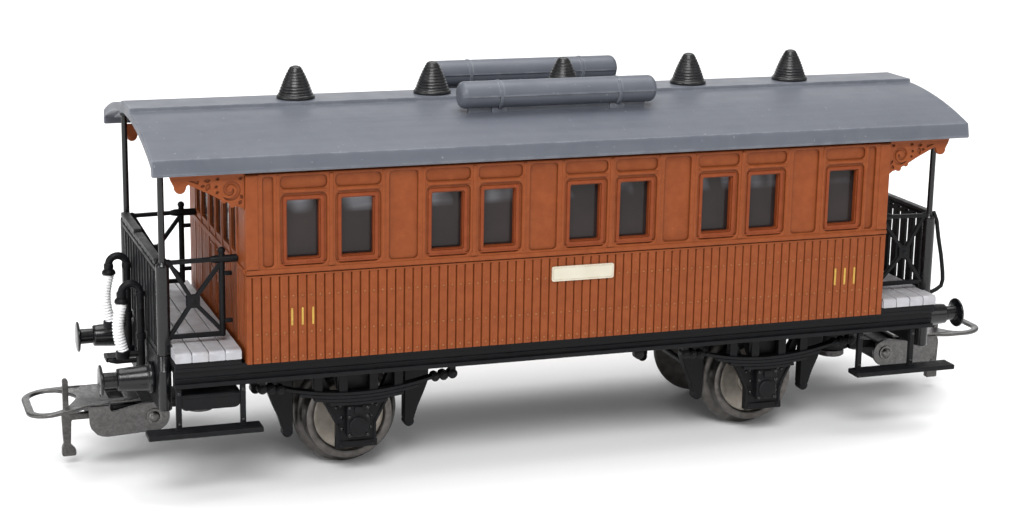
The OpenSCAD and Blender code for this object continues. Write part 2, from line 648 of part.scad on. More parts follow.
module pivot_screws() color("silver") for (e = [L, R]) at_end(e) {
    translate([-pivot_x, 0, pivot_z0 - 0.9]) difference() {
        cylinder(r = 1.9, h = 0.88);
        span([-2, -0.25, -0.01], [2, 0.25, 0.35]);
    }
}

// ---------- steps ----------
// Distance from the middle of the coach to each hanger, and to both ends of the board
function hanger_xs(e) = e > 0 ? [39.3, 46.9] : [41.85, 49.4];
function board_xs(e) = e > 0 ? [38.4, 52.8] : [39.7, 53.2];
module footstep(e, s) color("#1c1c1e") corner(e, s) {
    for (x = hanger_xs(e)) span([-x - 0.32, -16.6, 8.8 - eps], [-x + 0.32, -15.9, solebar_z0 - 0.02]);
    span([-board_xs(e)[1], -17.9, 8.15], [-board_xs(e)[0], -15.3, 8.8]);
    // Box between the hangers, at the left end only
    if (e < 0) xz(-16.3, -13.6) round_rect([-49.2, 11.0], [-42.05, 12.9], 0.7);
}

// ---------- brake pipes of the left end ----------
pipe_x = 51.8;                      // distance of the upright pipe from the middle of the coach
pipe_y = 5.0;                       // distance of a pipe from the centre line
pipe_z0 = 12.2;                     // height of the pipe's foot
pipe_r = 0.46;
collar_r = 0.6;
coupling_r = 0.85;
arm_r = 0.35;
hose_r = 0.72;
neck_r = 1.1;                       // radius of the bend at the top
hose_x = pipe_x + 2 * neck_r;
// Height of the bend's centre on each side
function neck_z(s) = s > 0 ? 23.8 : 22.7;
// Height of the hose's lower coupling on each side
function hose_z(s) = s > 0 ? 16.7 : 15.6;
neck_drop = 1.2;                    // depth of the upper coupling below the bend's centre
hose_bow = 0.5;                     // how far the hose's middle stands out

// Upright pipe with a half-round neck, and the two couplings that hold the hose
module standpipe(s) color("#1c1c1e") translate([0, s * pipe_y, 0]) {
    z1 = neck_z(s);
    z0 = hose_z(s);
    translate([-pipe_x, 0, pipe_z0]) cylinder(r = pipe_r, h = z1 - pipe_z0);
    bar_x(0, pipe_z0 + 0.7, arm_r, -pipe_x, -beam_x - 0.02);
    translate([-pipe_x - neck_r, 0, z1]) rotate([90, 0, 0]) rotate_extrude(angle = 180)
        translate([neck_r, 0]) circle(pipe_r);
    // Collars at both ends of the bend
    for (x = [-pipe_x, -hose_x]) translate([x, 0, z1 - 0.5]) cylinder(r = collar_r, h = 0.7);
    translate([-hose_x, 0, z1 - neck_drop]) cylinder(r = coupling_r, h = neck_drop - 0.5 + eps);
    // Lower coupling, on an arm from the pipe
    translate([-hose_x, 0, z0 - 1.0]) cylinder(r = coupling_r, h = 1.0);
    bar_x(0, z0 - 0.5, arm_r, -hose_x, -pipe_x);
}

// Hose that bows outwards between the two couplings, cut flat at both ends
module hose(s) color("white") {
    z0 = hose_z(s) + 0.02;
    z1 = neck_z(s) - neck_drop - 0.02;
    chord = z1 - z0 + 1;
    bow_r = (chord * chord / 4 + hose_bow * hose_bow) / (2 * hose_bow);
    half = asin(chord / 2 / bow_r);
    intersection() {
        translate([-hose_x - hose_bow + bow_r, s * pipe_y, (z0 + z1) / 2]) rotate([90, 0, 0])
            rotate([0, 0, 180 - half]) rotate_extrude(angle = 2 * half)
                translate([bow_r, 0]) circle(hose_r);
        span([-hose_x - 3, s * pipe_y - 3, z0], [-hose_x + 3, s * pipe_y + 3, z1]);
    }
}

chassis();
platform_floor(L);  // platform_floor_left
platform_floor(R);  // platform_floor_right
ballast_plate();
body_shell();
glazing_side(NEAR);  // glazing_near
glazing_side(FAR);  // glazing_far
glazing_ends();
roof_shell();
roof_tank(NEAR);  // roof_tank_near
roof_tank(FAR);  // roof_tank_far
roof_vents();
bracket(L, NEAR);  // bracket_left_near
bracket(L, FAR);  // bracket_left_far
bracket(R, NEAR);  // bracket_right_near
bracket(R, FAR);  // bracket_right_far
end_railing(L);  // end_railing_left
end_railing(R);  // end_railing_right
side_gate(L, NEAR);  // side_gate_left_near
side_gate(L, FAR);  // side_gate_left_far
side_gate(R, NEAR);  // side_gate_right_near
side_gate(R, FAR);  // side_gate_right_far
buffer(L, NEAR);  // buffer_left_near
buffer(L, FAR);  // buffer_left_far
buffer(R, NEAR);  // buffer_right_near
buffer(R, FAR);  // buffer_right_far
axleguard(L, NEAR);  // axleguard_left_near
axleguard(L, FAR);  // axleguard_left_far
axleguard(R, NEAR);  // axleguard_right_near
axleguard(R, FAR);  // axleguard_right_far
leaf_spring(L, NEAR);  // leaf_spring_left_near
leaf_spring(L, FAR);  // leaf_spring_left_far
leaf_spring(R, NEAR);  // leaf_spring_right_near
leaf_spring(R, FAR);  // leaf_spring_right_far
brake_gear(L);  // brake_gear_left
brake_gear(R);  // brake_gear_right
axle(L);  // axle_left
axle(R);  // axle_right
wheel(L, NEAR);  // wheel_left_near
wheel(L, FAR);  // wheel_left_far
wheel(R, NEAR);  // wheel_right_near
wheel(R, FAR);  // wheel_right_far
coupler_block(L);  // coupler_block_left
coupler_block(R);  // coupler_block_right
coupler_loop(L);  // coupler_loop_left
coupler_loop(R);  // coupler_loop_right
coupler_hook(L);  // coupler_hook_left
coupler_hook(R);  // coupler_hook_right
coupler_rivet(L);  // coupler_rivet_left
coupler_rivet(R);  // coupler_rivet_right
footstep(L, NEAR);  // footstep_left_near
footstep(L, FAR);  // footstep_left_far
footstep(R, NEAR);  // footstep_right_near
footstep(R, FAR);  // footstep_right_far
standpipe(NEAR);  // standpipe_near
standpipe(FAR);  // standpipe_far
hose(NEAR);  // hose_near
hose(FAR);  // hose_far
pivot_screws();
nameboards();
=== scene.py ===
"""Looks of the four-wheel model passenger coach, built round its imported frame.

Lengths inside the shape functions are millimetres in the row frame; piece() turns them into metres.
Corner parts are drawn at the left (-X) near (-Y) corner and mirrored to the others.
"""

import math

import bmesh
import bpy
from mathutils import Matrix, Vector


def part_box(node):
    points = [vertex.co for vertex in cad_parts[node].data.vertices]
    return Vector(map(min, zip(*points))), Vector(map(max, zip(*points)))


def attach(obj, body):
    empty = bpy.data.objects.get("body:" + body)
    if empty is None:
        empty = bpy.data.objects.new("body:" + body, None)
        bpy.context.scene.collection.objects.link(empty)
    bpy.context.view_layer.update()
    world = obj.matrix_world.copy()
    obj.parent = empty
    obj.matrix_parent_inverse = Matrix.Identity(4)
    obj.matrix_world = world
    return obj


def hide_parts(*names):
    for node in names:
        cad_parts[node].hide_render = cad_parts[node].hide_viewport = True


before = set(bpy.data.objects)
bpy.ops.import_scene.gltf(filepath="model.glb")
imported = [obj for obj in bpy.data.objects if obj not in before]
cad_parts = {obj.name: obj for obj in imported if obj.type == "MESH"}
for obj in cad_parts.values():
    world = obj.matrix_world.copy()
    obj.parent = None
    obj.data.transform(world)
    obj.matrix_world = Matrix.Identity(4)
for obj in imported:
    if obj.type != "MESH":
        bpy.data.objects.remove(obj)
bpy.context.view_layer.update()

MM = 0.001
COACH = "coach"
L, R = -1, 1
NEAR, FAR = -1, 1
END_NAME = {L: "left", R: "right"}
SIDE_NAME = {NEAR: "near", FAR: "far"}
ENDS = [(e, END_NAME[e]) for e in (L, R)]
CORNERS = [(e, s, END_NAME[e] + "_" + SIDE_NAME[s]) for e in (L, R) for s in (NEAR, FAR)]


def box_mm(node):
    """Lowest and highest corner of a CAD node at rest, in millimetres."""
    low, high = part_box(node)
    return low / MM, high / MM


# ---------- sizes read from the frame ----------
body_low, body_high = box_mm("body_shell")
roof_low, roof_high = box_mm("roof_shell")
floor_low, floor_high = box_mm("platform_floor_left")
BELT = 0.2  # how far the waist rail stands out of the body
BX = body_high.x - BELT
BY = body_high.y - BELT
BODY_Z = body_low.z
BODY_TOP = roof_low.z + 0.6  # wall tops, inside the roof's eaves
PANEL_Y = BY - 0.35
WALL = 0.95
WAIST_Z = 27.05
WAIST_H = 0.6
ROOF_R = 53.3
ROOF_TOP = roof_high.z - 0.35
ROOF_CZ = ROOF_TOP - ROOF_R
AXLE_X = -box_mm("axle_left")[0].x - 1.0
AXLE_Z = (box_mm("wheel_left_near")[0].z + box_mm("wheel_left_near")[1].z) / 2

# Windows: four pairs and a single one, in row-frame millimetres
PAIR_PITCH = 17.45
WINDOW_PITCH = 6.5
WINDOW_X0 = -34.65
WINDOW_W, WINDOW_H, WINDOW_Z = 4.05, 7.1, 28.55
PAIRS = range(4)
window_xs = [WINDOW_X0 + k * PAIR_PITCH + m * WINDOW_PITCH for k in PAIRS for m in (0, 1)]
window_xs.append(WINDOW_X0 + len(PAIRS) * PAIR_PITCH)
blank_xs = [WINDOW_X0 + k * PAIR_PITCH + (PAIR_PITCH + WINDOW_PITCH) / 2 for k in PAIRS]


def arch_z(radius, y):
    """Height of the roof's arch of that radius at a distance y from the centre line."""
    return ROOF_CZ + math.sqrt(radius * radius - y * y)


# ---------- mesh helpers ----------
def rect(x0, z0, x1, z1):
    return [(x0, z0), (x1, z0), (x1, z1), (x0, z1)]


def arc(cx, cz, radius, a0, a1, steps):
    """Points on an arc from angle a0 to a1, in degrees."""
    turns = [math.radians(a0 + (a1 - a0) * i / steps) for i in range(steps + 1)]
    return [(cx + radius * math.cos(t), cz + radius * math.sin(t)) for t in turns]


def round_rect(x0, z0, x1, z1, radius, steps=6):
    r = radius
    return (
        arc(x1 - r, z1 - r, r, 0, 90, steps)
        + arc(x0 + r, z1 - r, r, 90, 180, steps)
        + arc(x0 + r, z0 + r, r, 180, 270, steps)
        + arc(x1 - r, z0 + r, r, 270, 360, steps)
    )


def circle(cx, cz, radius, steps=48):
    turns = [2 * math.pi * i / steps for i in range(steps)]
    return [(cx + radius * math.cos(t), cz + radius * math.sin(t)) for t in turns]


def bar(p, q, width):
    """Outline of a flat bar with round ends from p to q."""
    p, q = Vector(p), Vector(q)
    turn = math.degrees(math.atan2(q.y - p.y, q.x - p.x))
    far_end = arc(q.x, q.y, width / 2, turn - 90, turn + 90, 8)
    return far_end + arc(p.x, p.y, width / 2, turn + 90, turn + 270, 8)


PLANES = {
    "xz": lambda a, b, t: (a, t, b),
    "yz": lambda a, b, t: (t, a, b),
    "xy": lambda a, b, t: (a, b, t),
}


def add_box(bm, a, b, bevel=0.08, segments=2):
    """A box between two corners with rounded edges."""
    low = [min(p, q) for p, q in zip(a, b)]
    high = [max(p, q) for p, q in zip(a, b)]
    made = bmesh.ops.create_cube(bm, size=1.0)["verts"]
    for v in made:
        v.co = [low[i] if v.co[i] < 0 else high[i] for i in range(3)]
    bevel = min(bevel, 0.45 * min(h - l for l, h in zip(low, high)))
    edges = list({e for v in made for e in v.link_edges})
    bmesh.ops.bevel(bm, geom=edges, offset=bevel, segments=segments, profile=0.5, affect="EDGES")


def add_plate(bm, loops, t0, t1, plane="xz", bevel=0.08, resolution=2):
    """A flat plate with rounded edges: the first loop is its outline, the others are holes."""
    curve = bpy.data.curves.new("outline", "CURVE")
    curve.dimensions = "2D"
    curve.fill_mode = "BOTH"
    curve.extrude = (t1 - t0) / 2 - bevel
    curve.bevel_depth = bevel
    curve.bevel_resolution = resolution
    curve.offset = -bevel
    for loop in loops:
        spline = curve.splines.new("POLY")
        spline.points.add(len(loop) - 1)
        for point, (a, b) in zip(spline.points, loop):
            point.co = (a, b, 0, 1)
        spline.use_cyclic_u = True
    holder = bpy.data.objects.new("outline", curve)
    mesh = bpy.data.meshes.new_from_object(holder)
    part = bmesh.new()
    part.from_mesh(mesh)
    bmesh.ops.remove_doubles(part, verts=part.verts, dist=0.0005)
    middle = (t0 + t1) / 2
    place = PLANES[plane]
    for v in part.verts:
        v.co = place(v.co.x, v.co.y, middle + v.co.z)
    part.to_mesh(mesh)
    part.free()
    bm.from_mesh(mesh)
    bpy.data.objects.remove(holder)
    bpy.data.curves.remove(curve)
    bpy.data.meshes.remove(mesh)


def add_prism(bm, outline, t0, t1, plane="yz", bevel=0.08, sharp=30, segments=2):
    """A closed outline pushed along the plane's normal, with its sharp edges rounded."""
    place = PLANES[plane]
    ends = [[bm.verts.new(place(a, b, t)) for a, b in outline] for t in (t0, t1)]
    n = len(outline)
    faces = [bm.faces.new(ends[0]), bm.faces.new(ends[1][::-1])]
    for i in range(n):
        j = (i + 1) % n
        faces.append(bm.faces.new((ends[0][i], ends[1][i], ends[1][j], ends[0][j])))
    bmesh.ops.recalc_face_normals(bm, faces=faces)
    if bevel:
        limit = math.radians(sharp)
        edges = {e for f in faces for e in f.edges if e.calc_face_angle(0) > limit}
        bmesh.ops.bevel(bm, geom=list(edges), offset=bevel, segments=segments, profile=0.5, affect="EDGES")


def add_rings(bm, rings):
    """Joins rings of equal size into a skin, with a flat cap at both ends."""
    rows = [[bm.verts.new(p) for p in ring] for ring in rings]
    n = len(rows[0])
    for a, b in zip(rows, rows[1:]):
        for i in range(n):
            bm.faces.new((a[i], a[(i + 1) % n], b[(i + 1) % n], b[i]))
    bm.faces.new(rows[0][::-1])
    bm.faces.new(rows[-1])


def add_lathe(bm, profile, origin, axis, steps=48):
    """Turns a profile of (distance along the axis, radius) about an axis through origin."""
    turn = Vector(axis).to_track_quat("Z", "Y").to_matrix()
    start = Vector(origin)
    rings = []
    for along, radius in profile:
        angles = [2 * math.pi * i / steps for i in range(steps)]
        ring = [turn @ Vector((radius * math.cos(t), radius * math.sin(t), along)) + start for t in angles]
        rings.append(ring)
    add_rings(bm, rings)


def add_ball(bm, centre, radius, steps):
    made = bmesh.ops.create_uvsphere(bm, u_segments=steps, v_segments=steps // 2, radius=radius)
    for v in made["verts"]:
        v.co = v.co + Vector(centre)


def add_tube(bm, points, radius, steps=16, rounded=0.3):
    """A bar along a line of points. radius is one number or one for each point."""
    points = [Vector(p) for p in points]
    radii = [radius] * len(points) if isinstance(radius, (int, float)) else list(radius)
    turns = [2 * math.pi * i / steps for i in range(steps)]
    shape = [(math.cos(t), math.sin(t)) for t in turns]
    tangents = []
    for i in range(len(points)):
        ahead, behind = points[min(i + 1, len(points) - 1)], points[max(i - 1, 0)]
        tangents.append((ahead - behind).normalized())
    across = tangents[0].orthogonal().normalized()
    if abs(tangents[0].y) < 0.9:
        across = Vector((0, 1, 0))
        across = (across - tangents[0] * across.dot(tangents[0])).normalized()
    rings = []
    last = tangents[0]
    for i, (point, tangent) in enumerate(zip(points, tangents)):
        across = last.rotation_difference(tangent) @ across
        last = tangent
        up = tangent.cross(across)
        section = [across * a + up * b for a, b in shape]
        cap = rounded * radii[i]
        if i == 0 and cap:
            rings.append([point + v * (radii[i] - cap) for v in section])
        shift = tangent * (cap if i == 0 else -cap if i == len(points) - 1 else 0)
        rings.append([point + shift + v * radii[i] for v in section])
        if i == len(points) - 1 and cap:
            rings.append([point + v * (radii[i] - cap) for v in section])
    add_rings(bm, rings)


def piece(name, bm, material, body=COACH, replaces=(), end=L, side=NEAR, sharp=32):
    """Makes an object in metres from a mesh drawn in millimetres at the left near corner."""
    flip = Matrix.Diagonal((-end * MM, -side * MM, MM, 1))
    bmesh.ops.transform(bm, matrix=flip, verts=bm.verts)
    bmesh.ops.recalc_face_normals(bm, faces=bm.faces)
    limit = math.radians(sharp)
    for face in bm.faces:
        face.smooth = True
    for edge in bm.edges:
        edge.smooth = len(edge.link_faces) == 2 and edge.calc_face_angle(0) < limit
    mesh = bpy.data.meshes.new(name)
    bm.to_mesh(mesh)
    bm.free()
    mesh.materials.append(material)
    made = bpy.data.objects.new(name, mesh)
    bpy.context.scene.collection.objects.link(made)
    even = made.modifiers.new("even_shading", "WEIGHTED_NORMAL")
    even.keep_sharp = True
    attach(made, body)
    if replaces:
        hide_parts(*replaces)
    return made


# ---------- materials ----------
class Finish:
    """A Principled material whose colour, gloss and relief vary over the surface."""

    def __init__(self, name, colour, rough, metallic=0.0, specular=0.5):
        self.material = bpy.data.materials.new(name)
        self.material.use_nodes = True
        self.nodes = self.material.node_tree.nodes
        self.links = self.material.node_tree.links
        self.shader = self.nodes["Principled BSDF"]
        self.shader.inputs["Metallic"].default_value = metallic
        self.shader.inputs["Specular IOR Level"].default_value = specular
        self.place = self.nodes.new("ShaderNodeTexCoord").outputs["Object"]
        self.rough = rough
        self.colour_out = self.constant(colour)
        self.height_out = None

    def constant(self, colour):
        node = self.nodes.new("ShaderNodeRGB")
        node.outputs[0].default_value = (*colour, 1)
        return node.outputs[0]

    def noise(self, size_mm, detail=3.0, stretch=(1, 1, 1)):
        """Noise of grains about size_mm across, longer along the axes with a small stretch."""
        mapping = self.nodes.new("ShaderNodeMapping")
        mapping.inputs["Scale"].default_value = stretch
        self.links.new(self.place, mapping.inputs["Vector"])
        node = self.nodes.new("ShaderNodeTexNoise")
        node.inputs["Scale"].default_value = 1 / (size_mm * MM)
        node.inputs["Detail"].default_value = detail
        self.links.new(mapping.outputs["Vector"], node.inputs["Vector"])
        return node.outputs["Fac"]

    def fit(self, value, low, high, to_low=0.0, to_high=1.0):
        node = self.nodes.new("ShaderNodeMapRange")
        for key, number in zip(("From Min", "From Max", "To Min", "To Max"), (low, high, to_low, to_high)):
            node.inputs[key].default_value = number
        self.links.new(value, node.inputs["Value"])
        return node.outputs["Result"]

    def times(self, a, b):
        node = self.nodes.new("ShaderNodeMath")
        node.operation = "MULTIPLY"
        for socket, value in zip(node.inputs, (a, b)):
            if isinstance(value, (int, float)):
                socket.default_value = value
            else:
                self.links.new(value, socket)
        return node.outputs[0]

    def height(self):
        """Height above the track plane, in millimetres."""
        split = self.nodes.new("ShaderNodeSeparateXYZ")
        self.links.new(self.place, split.inputs[0])
        return self.times(split.outputs["Z"], 1 / MM)

    def blend_in(self, colour, amount):
        """Mixes a colour over what is there, as strongly as amount says."""
        node = self.nodes.new("ShaderNodeMix")
        node.data_type = "RGBA"
        self.links.new(amount, node.inputs["Factor"])
        self.links.new(self.colour_out, node.inputs["A"])
        node.inputs["B"].default_value = (*colour, 1)
        self.colour_out = node.outputs["Result"]
        return self

    def mottle(self, colour, size_mm, strength=1.0, stretch=(1, 1, 1)):
        fac = self.fit(self.noise(size_mm, 4.0, stretch), 0.35, 0.65, 0.0, strength)
        return self.blend_in(colour, fac)

    def edge_wear_and_highlight(self, colour, radius_mm, strength):
        """Lighter edges: wear where handling rubs the surface, and painted highlight along them."""
        soft = self.nodes.new("ShaderNodeBevel")
        soft.samples = 4
        soft.inputs["Radius"].default_value = radius_mm * MM
        plain = self.nodes.new("ShaderNodeNewGeometry")
        dot = self.nodes.new("ShaderNodeVectorMath")
        dot.operation = "DOT_PRODUCT"
        self.links.new(soft.outputs["Normal"], dot.inputs[0])
        self.links.new(plain.outputs["Normal"], dot.inputs[1])
        worn_and_lit = self.fit(dot.outputs["Value"], 0.99, 0.82, 0.0, strength)
        patches = self.fit(self.noise(1.6, 2.0), 0.4, 0.6, 0.35, 1.0)
        return self.blend_in(colour, self.times(worn_and_lit, patches))

    def specks(self, colour, size_mm, cover, strength=1.0):
        """Scattered small marks. cover is the share of the noise's range that shows."""
        fac = self.fit(self.noise(size_mm, 1.0), 0.75 - cover, 0.78 - cover, 0.0, strength)
        return self.blend_in(colour, fac)

    def painted_crease_shade(self, colour, reach_mm, strength):
        """Painted shade: darker colour in grooves and inner corners, as far as nearby surfaces hem them in.
        """
        node = self.nodes.new("ShaderNodeAmbientOcclusion")
        node.samples = 8
        node.only_local = True
        node.inputs["Distance"].default_value = reach_mm * MM
        return self.blend_in(colour, self.fit(node.outputs["AO"], 0.8, 0.35, 0.0, strength))

    def grain(self, size_mm, depth_mm, strength=0.3, stretch=(1, 1, 1)):
        """Fine relief of the moulded or pressed surface."""
        node = self.nodes.new("ShaderNodeBump")
        node.inputs["Strength"].default_value = strength
        node.inputs["Distance"].default_value = depth_mm * MM
        self.links.new(self.noise(size_mm, 3.0, stretch), node.inputs["Height"])
        if self.height_out:
            self.links.new(self.height_out, node.inputs["Normal"])
        self.height_out = node.outputs["Normal"]
        return self

    def finish(self, gloss_spread=0.06, gloss_mm=2.5):
        uneven = self.fit(self.noise(gloss_mm, 3.0), 0.3, 0.7, self.rough - gloss_spread,
                          self.rough + gloss_spread)
        self.links.new(uneven, self.shader.inputs["Roughness"])
        self.links.new(self.colour_out, self.shader.inputs["Base Color"])
        if self.height_out:
            self.links.new(self.height_out, self.shader.inputs["Normal"])
        return self.material


def brown_plastic(name, colour, light):
    dark = tuple(c * 0.82 for c in colour)
    made = Finish(name, colour, rough=0.5, specular=0.22)
    # Lighter edges: wear, and painted highlight along the mouldings
    made.mottle(dark, 6.0, 0.5).mottle(light, 1.1, 0.35).edge_wear_and_highlight(light, 0.12, 0.6)
    made.specks(tuple(c * 1.7 for c in light), 0.45, 0.0, 0.4)
    # Painted shade in the grooves and inner corners of the brown mouldings
    made.painted_crease_shade(tuple(c * 0.22 for c in colour), 0.42, 0.7)
    return made.grain(0.25, 0.02, 0.35).grain(0.06, 0.008, 0.2).finish()


def roof_plastic():
    made = Finish("roof_grey", (0.088, 0.096, 0.117), rough=0.47, specular=0.4)
    made.mottle((0.07, 0.078, 0.098), 9.0, 0.7).mottle((0.10, 0.108, 0.127), 1.6, 0.4)
    made.mottle((0.115, 0.123, 0.142), 1.2, 0.3, (0.06, 1, 1))
    # Lighter edges: scuffs, and painted highlight along the eave crease and the roof ends
    made.edge_wear_and_highlight((0.24, 0.255, 0.285), 0.4, 0.75)
    made.specks((0.3, 0.31, 0.33), 0.5, 0.0, 0.5)
    # Painted shade in the grooves and inner corners of the roof
    made.painted_crease_shade((0.03, 0.032, 0.038), 0.6, 0.7)
    return made.grain(0.35, 0.03, 0.3).grain(0.1, 0.012, 0.25).finish(0.05, 4.0)


def black_plastic(name, rough, specular=0.4):
    made = Finish(name, (0.0035, 0.0037, 0.0045), rough, specular=specular)
    # Lighter bluish edges: wear, and painted sheen
    made.mottle((0.007, 0.007, 0.008), 1.2, 0.8).edge_wear_and_highlight((0.022, 0.023, 0.026), 0.1, 0.5)
    return made.grain(0.2, 0.02, 0.3).finish(0.08, 1.2)


def floor_plastic():
    made = Finish("floor_silver", (0.42, 0.425, 0.45), rough=0.42, specular=0.5)
    made.mottle((0.33, 0.335, 0.36), 2.4, 0.8).mottle((0.26, 0.20, 0.17), 1.5, 0.25)
    # Lighter board edges: wear, and painted highlight
    made.edge_wear_and_highlight((0.8, 0.8, 0.82), 0.12, 0.4)
    return made.grain(0.3, 0.02, 0.3, (0.3, 1, 1)).finish(0.08, 1.5)


def window_plastic():
    """Dark clear plastic with a painted reflection: patchy pale glare towards the top of some panes."""
    made = Finish("window_smoke", (0.017, 0.0125, 0.0125), rough=0.16, specular=0.22)
    made.mottle((0.026, 0.019, 0.018), 7.0, 0.8)
    # Painted reflection: pale streaky patches near the top of the panes
    top = made.fit(made.height(), 33.6, 35.4, 0.0, 1.0)
    patch = made.fit(made.noise(4.2, 1.0, (1, 1, 0.5)), 0.47, 0.62, 0.0, 0.75)
    streaks = made.fit(made.noise(0.5, 2.0, (0.08, 1, 1)), 0.3, 0.7, 0.6, 1.0)
    made.blend_in((0.36, 0.38, 0.42), made.times(made.times(top, patch), streaks))
    return made.grain(1.5, 0.03, 0.15).finish(0.05, 2.0)


def metal(name, colour, rough, dark, streaks=(1, 1, 1), wear_and_sheen=0.4, fleck_mm=0.9):
    made = Finish(name, colour, rough, metallic=1.0)
    # Lighter edges: wear, and painted highlight
    made.mottle(dark, fleck_mm, 0.7, streaks).edge_wear_and_highlight(tuple(min(1, c * 1.7) for c in colour), 0.08, wear_and_sheen)
    return made.grain(0.12, 0.012, 0.35, streaks).finish(0.1, 0.6)


def hose_plastic():
    made = Finish("hose_white", (0.86, 0.86, 0.87), rough=0.5)
    made.mottle((0.72, 0.72, 0.73), 0.8, 0.4)
    return made.grain(0.1, 0.01, 0.2).finish()


def plate_paint():
    made = Finish("plate_cream", (0.56, 0.53, 0.43), rough=0.45)
    made.mottle((0.50, 0.46, 0.36), 2.2, 0.5).edge_wear_and_highlight((0.30, 0.17, 0.09), 0.2, 0.7)
    return made.grain(0.2, 0.01, 0.2).finish()


def gold_paint():
    made = Finish("gold_paint", (0.50, 0.32, 0.045), rough=0.42)
    made.mottle((0.36, 0.20, 0.03), 0.35, 0.7)
    return made.grain(0.1, 0.01, 0.3).finish()


BROWN = (0.205, 0.0455, 0.0095)
BROWN_LIGHT = (0.275, 0.074, 0.019)
brown = brown_plastic("body_brown", BROWN, BROWN_LIGHT)
sash_brown = brown_plastic("sash_brown", (0.19, 0.037, 0.008), (0.25, 0.06, 0.016))
roof_grey = roof_plastic()
satin_black = black_plastic("black_satin", 0.46, 0.16)
gloss_black = black_plastic("black_gloss", 0.22, 0.4)
vent_black = black_plastic("vent_black", 0.36, 0.5)
silver = floor_plastic()
smoke = window_plastic()
rim_metal = metal("wheel_rim", (0.14, 0.131, 0.123), 0.38, (0.08, 0.074, 0.07), wear_and_sheen=0.85)
disc_metal = metal("wheel_disc", (0.33, 0.30, 0.26), 0.5, (0.24, 0.215, 0.185))
bright_steel = metal("axle_steel", (0.55, 0.55, 0.54), 0.3, (0.38, 0.38, 0.37), (1, 0.1, 1))
dark_steel = metal("coupler_steel", (0.12, 0.115, 0.112), 0.42, (0.06, 0.056, 0.054), wear_and_sheen=0.8, fleck_mm=0.35)
rivet_steel = metal("rivet_steel", (0.16, 0.155, 0.15), 0.3, (0.08, 0.077, 0.075), wear_and_sheen=0.9, fleck_mm=0.3)
plain_steel = metal("ballast_steel", (0.30, 0.30, 0.31), 0.45, (0.2, 0.2, 0.2), (0.1, 1, 1))
white_hose = hose_plastic()
cream = plate_paint()
gold = gold_paint()


# ---------- roof ----------
EAVE_Y, EAVE_Z = roof_high.y, roof_low.z
CREASE_Y = 18.05
ROOF_X = roof_high.x
RIDGE_Y = 2.95


def make_roof():
    bm = bmesh.new()
    rise = 24
    half = [(0.0, ROOF_TOP + 0.35), (RIDGE_Y, ROOF_TOP + 0.35),
            (RIDGE_Y + 0.16, arch_z(ROOF_R, RIDGE_Y + 0.16))]
    for i in range(1, rise + 1):
        y = RIDGE_Y + 0.16 + (CREASE_Y - RIDGE_Y - 0.16) * i / rise
        half.append((y, arch_z(ROOF_R, y)))
    half += [(EAVE_Y, EAVE_Z + 0.25), (EAVE_Y - 0.12, EAVE_Z), (EAVE_Y - 0.7, EAVE_Z)]
    inside = []
    for i in range(rise + 1):
        y = (EAVE_Y - 0.85) * (1 - i / rise)
        inside.append((y, arch_z(ROOF_R - 1.0, y)))
    right = half + inside
    outline = right + [(-y, z) for y, z in reversed(right[1:-1])]
    # The end faces are set in a little, which rounds the roof's end edges
    inset = 0.1
    rings = []
    for x, small in ((-ROOF_X, inset), (-ROOF_X + inset, 0), (ROOF_X - inset, 0), (ROOF_X, inset)):
        ring = []
        for k, (y, z) in enumerate(outline):
            before, after = outline[k - 1], outline[(k + 1) % len(outline)]
            along = Vector((after[0] - before[0], after[1] - before[1])).normalized()
            ring.append((x, y + along.y * small, z - along.x * small))
        rings.append(ring)
    add_rings(bm, rings)
    # Moulded rib under each roof end, where the posts meet it
    for x0, x1 in ((-ROOF_X + 1.1, -ROOF_X + 2.6), (ROOF_X - 2.6, ROOF_X - 1.1)):
        steps = 20
        ys = [-16.8 + 33.6 * i / steps for i in range(steps + 1)]
        top = [(y, arch_z(ROOF_R - 0.95, y)) for y in ys]
        low = [(y, z - 0.35) for y, z in reversed(top)]
        add_prism(bm, top + low, x0, x1, "yz", 0.0)
    piece("roof_skin", bm, roof_grey, replaces=["roof_shell"])


TANK_Y, TANK_Z = 8.75, 45.5
TANK_R = 1.75
BAND_X = 7.75  # distance of a tank's bands and saddles from its middle


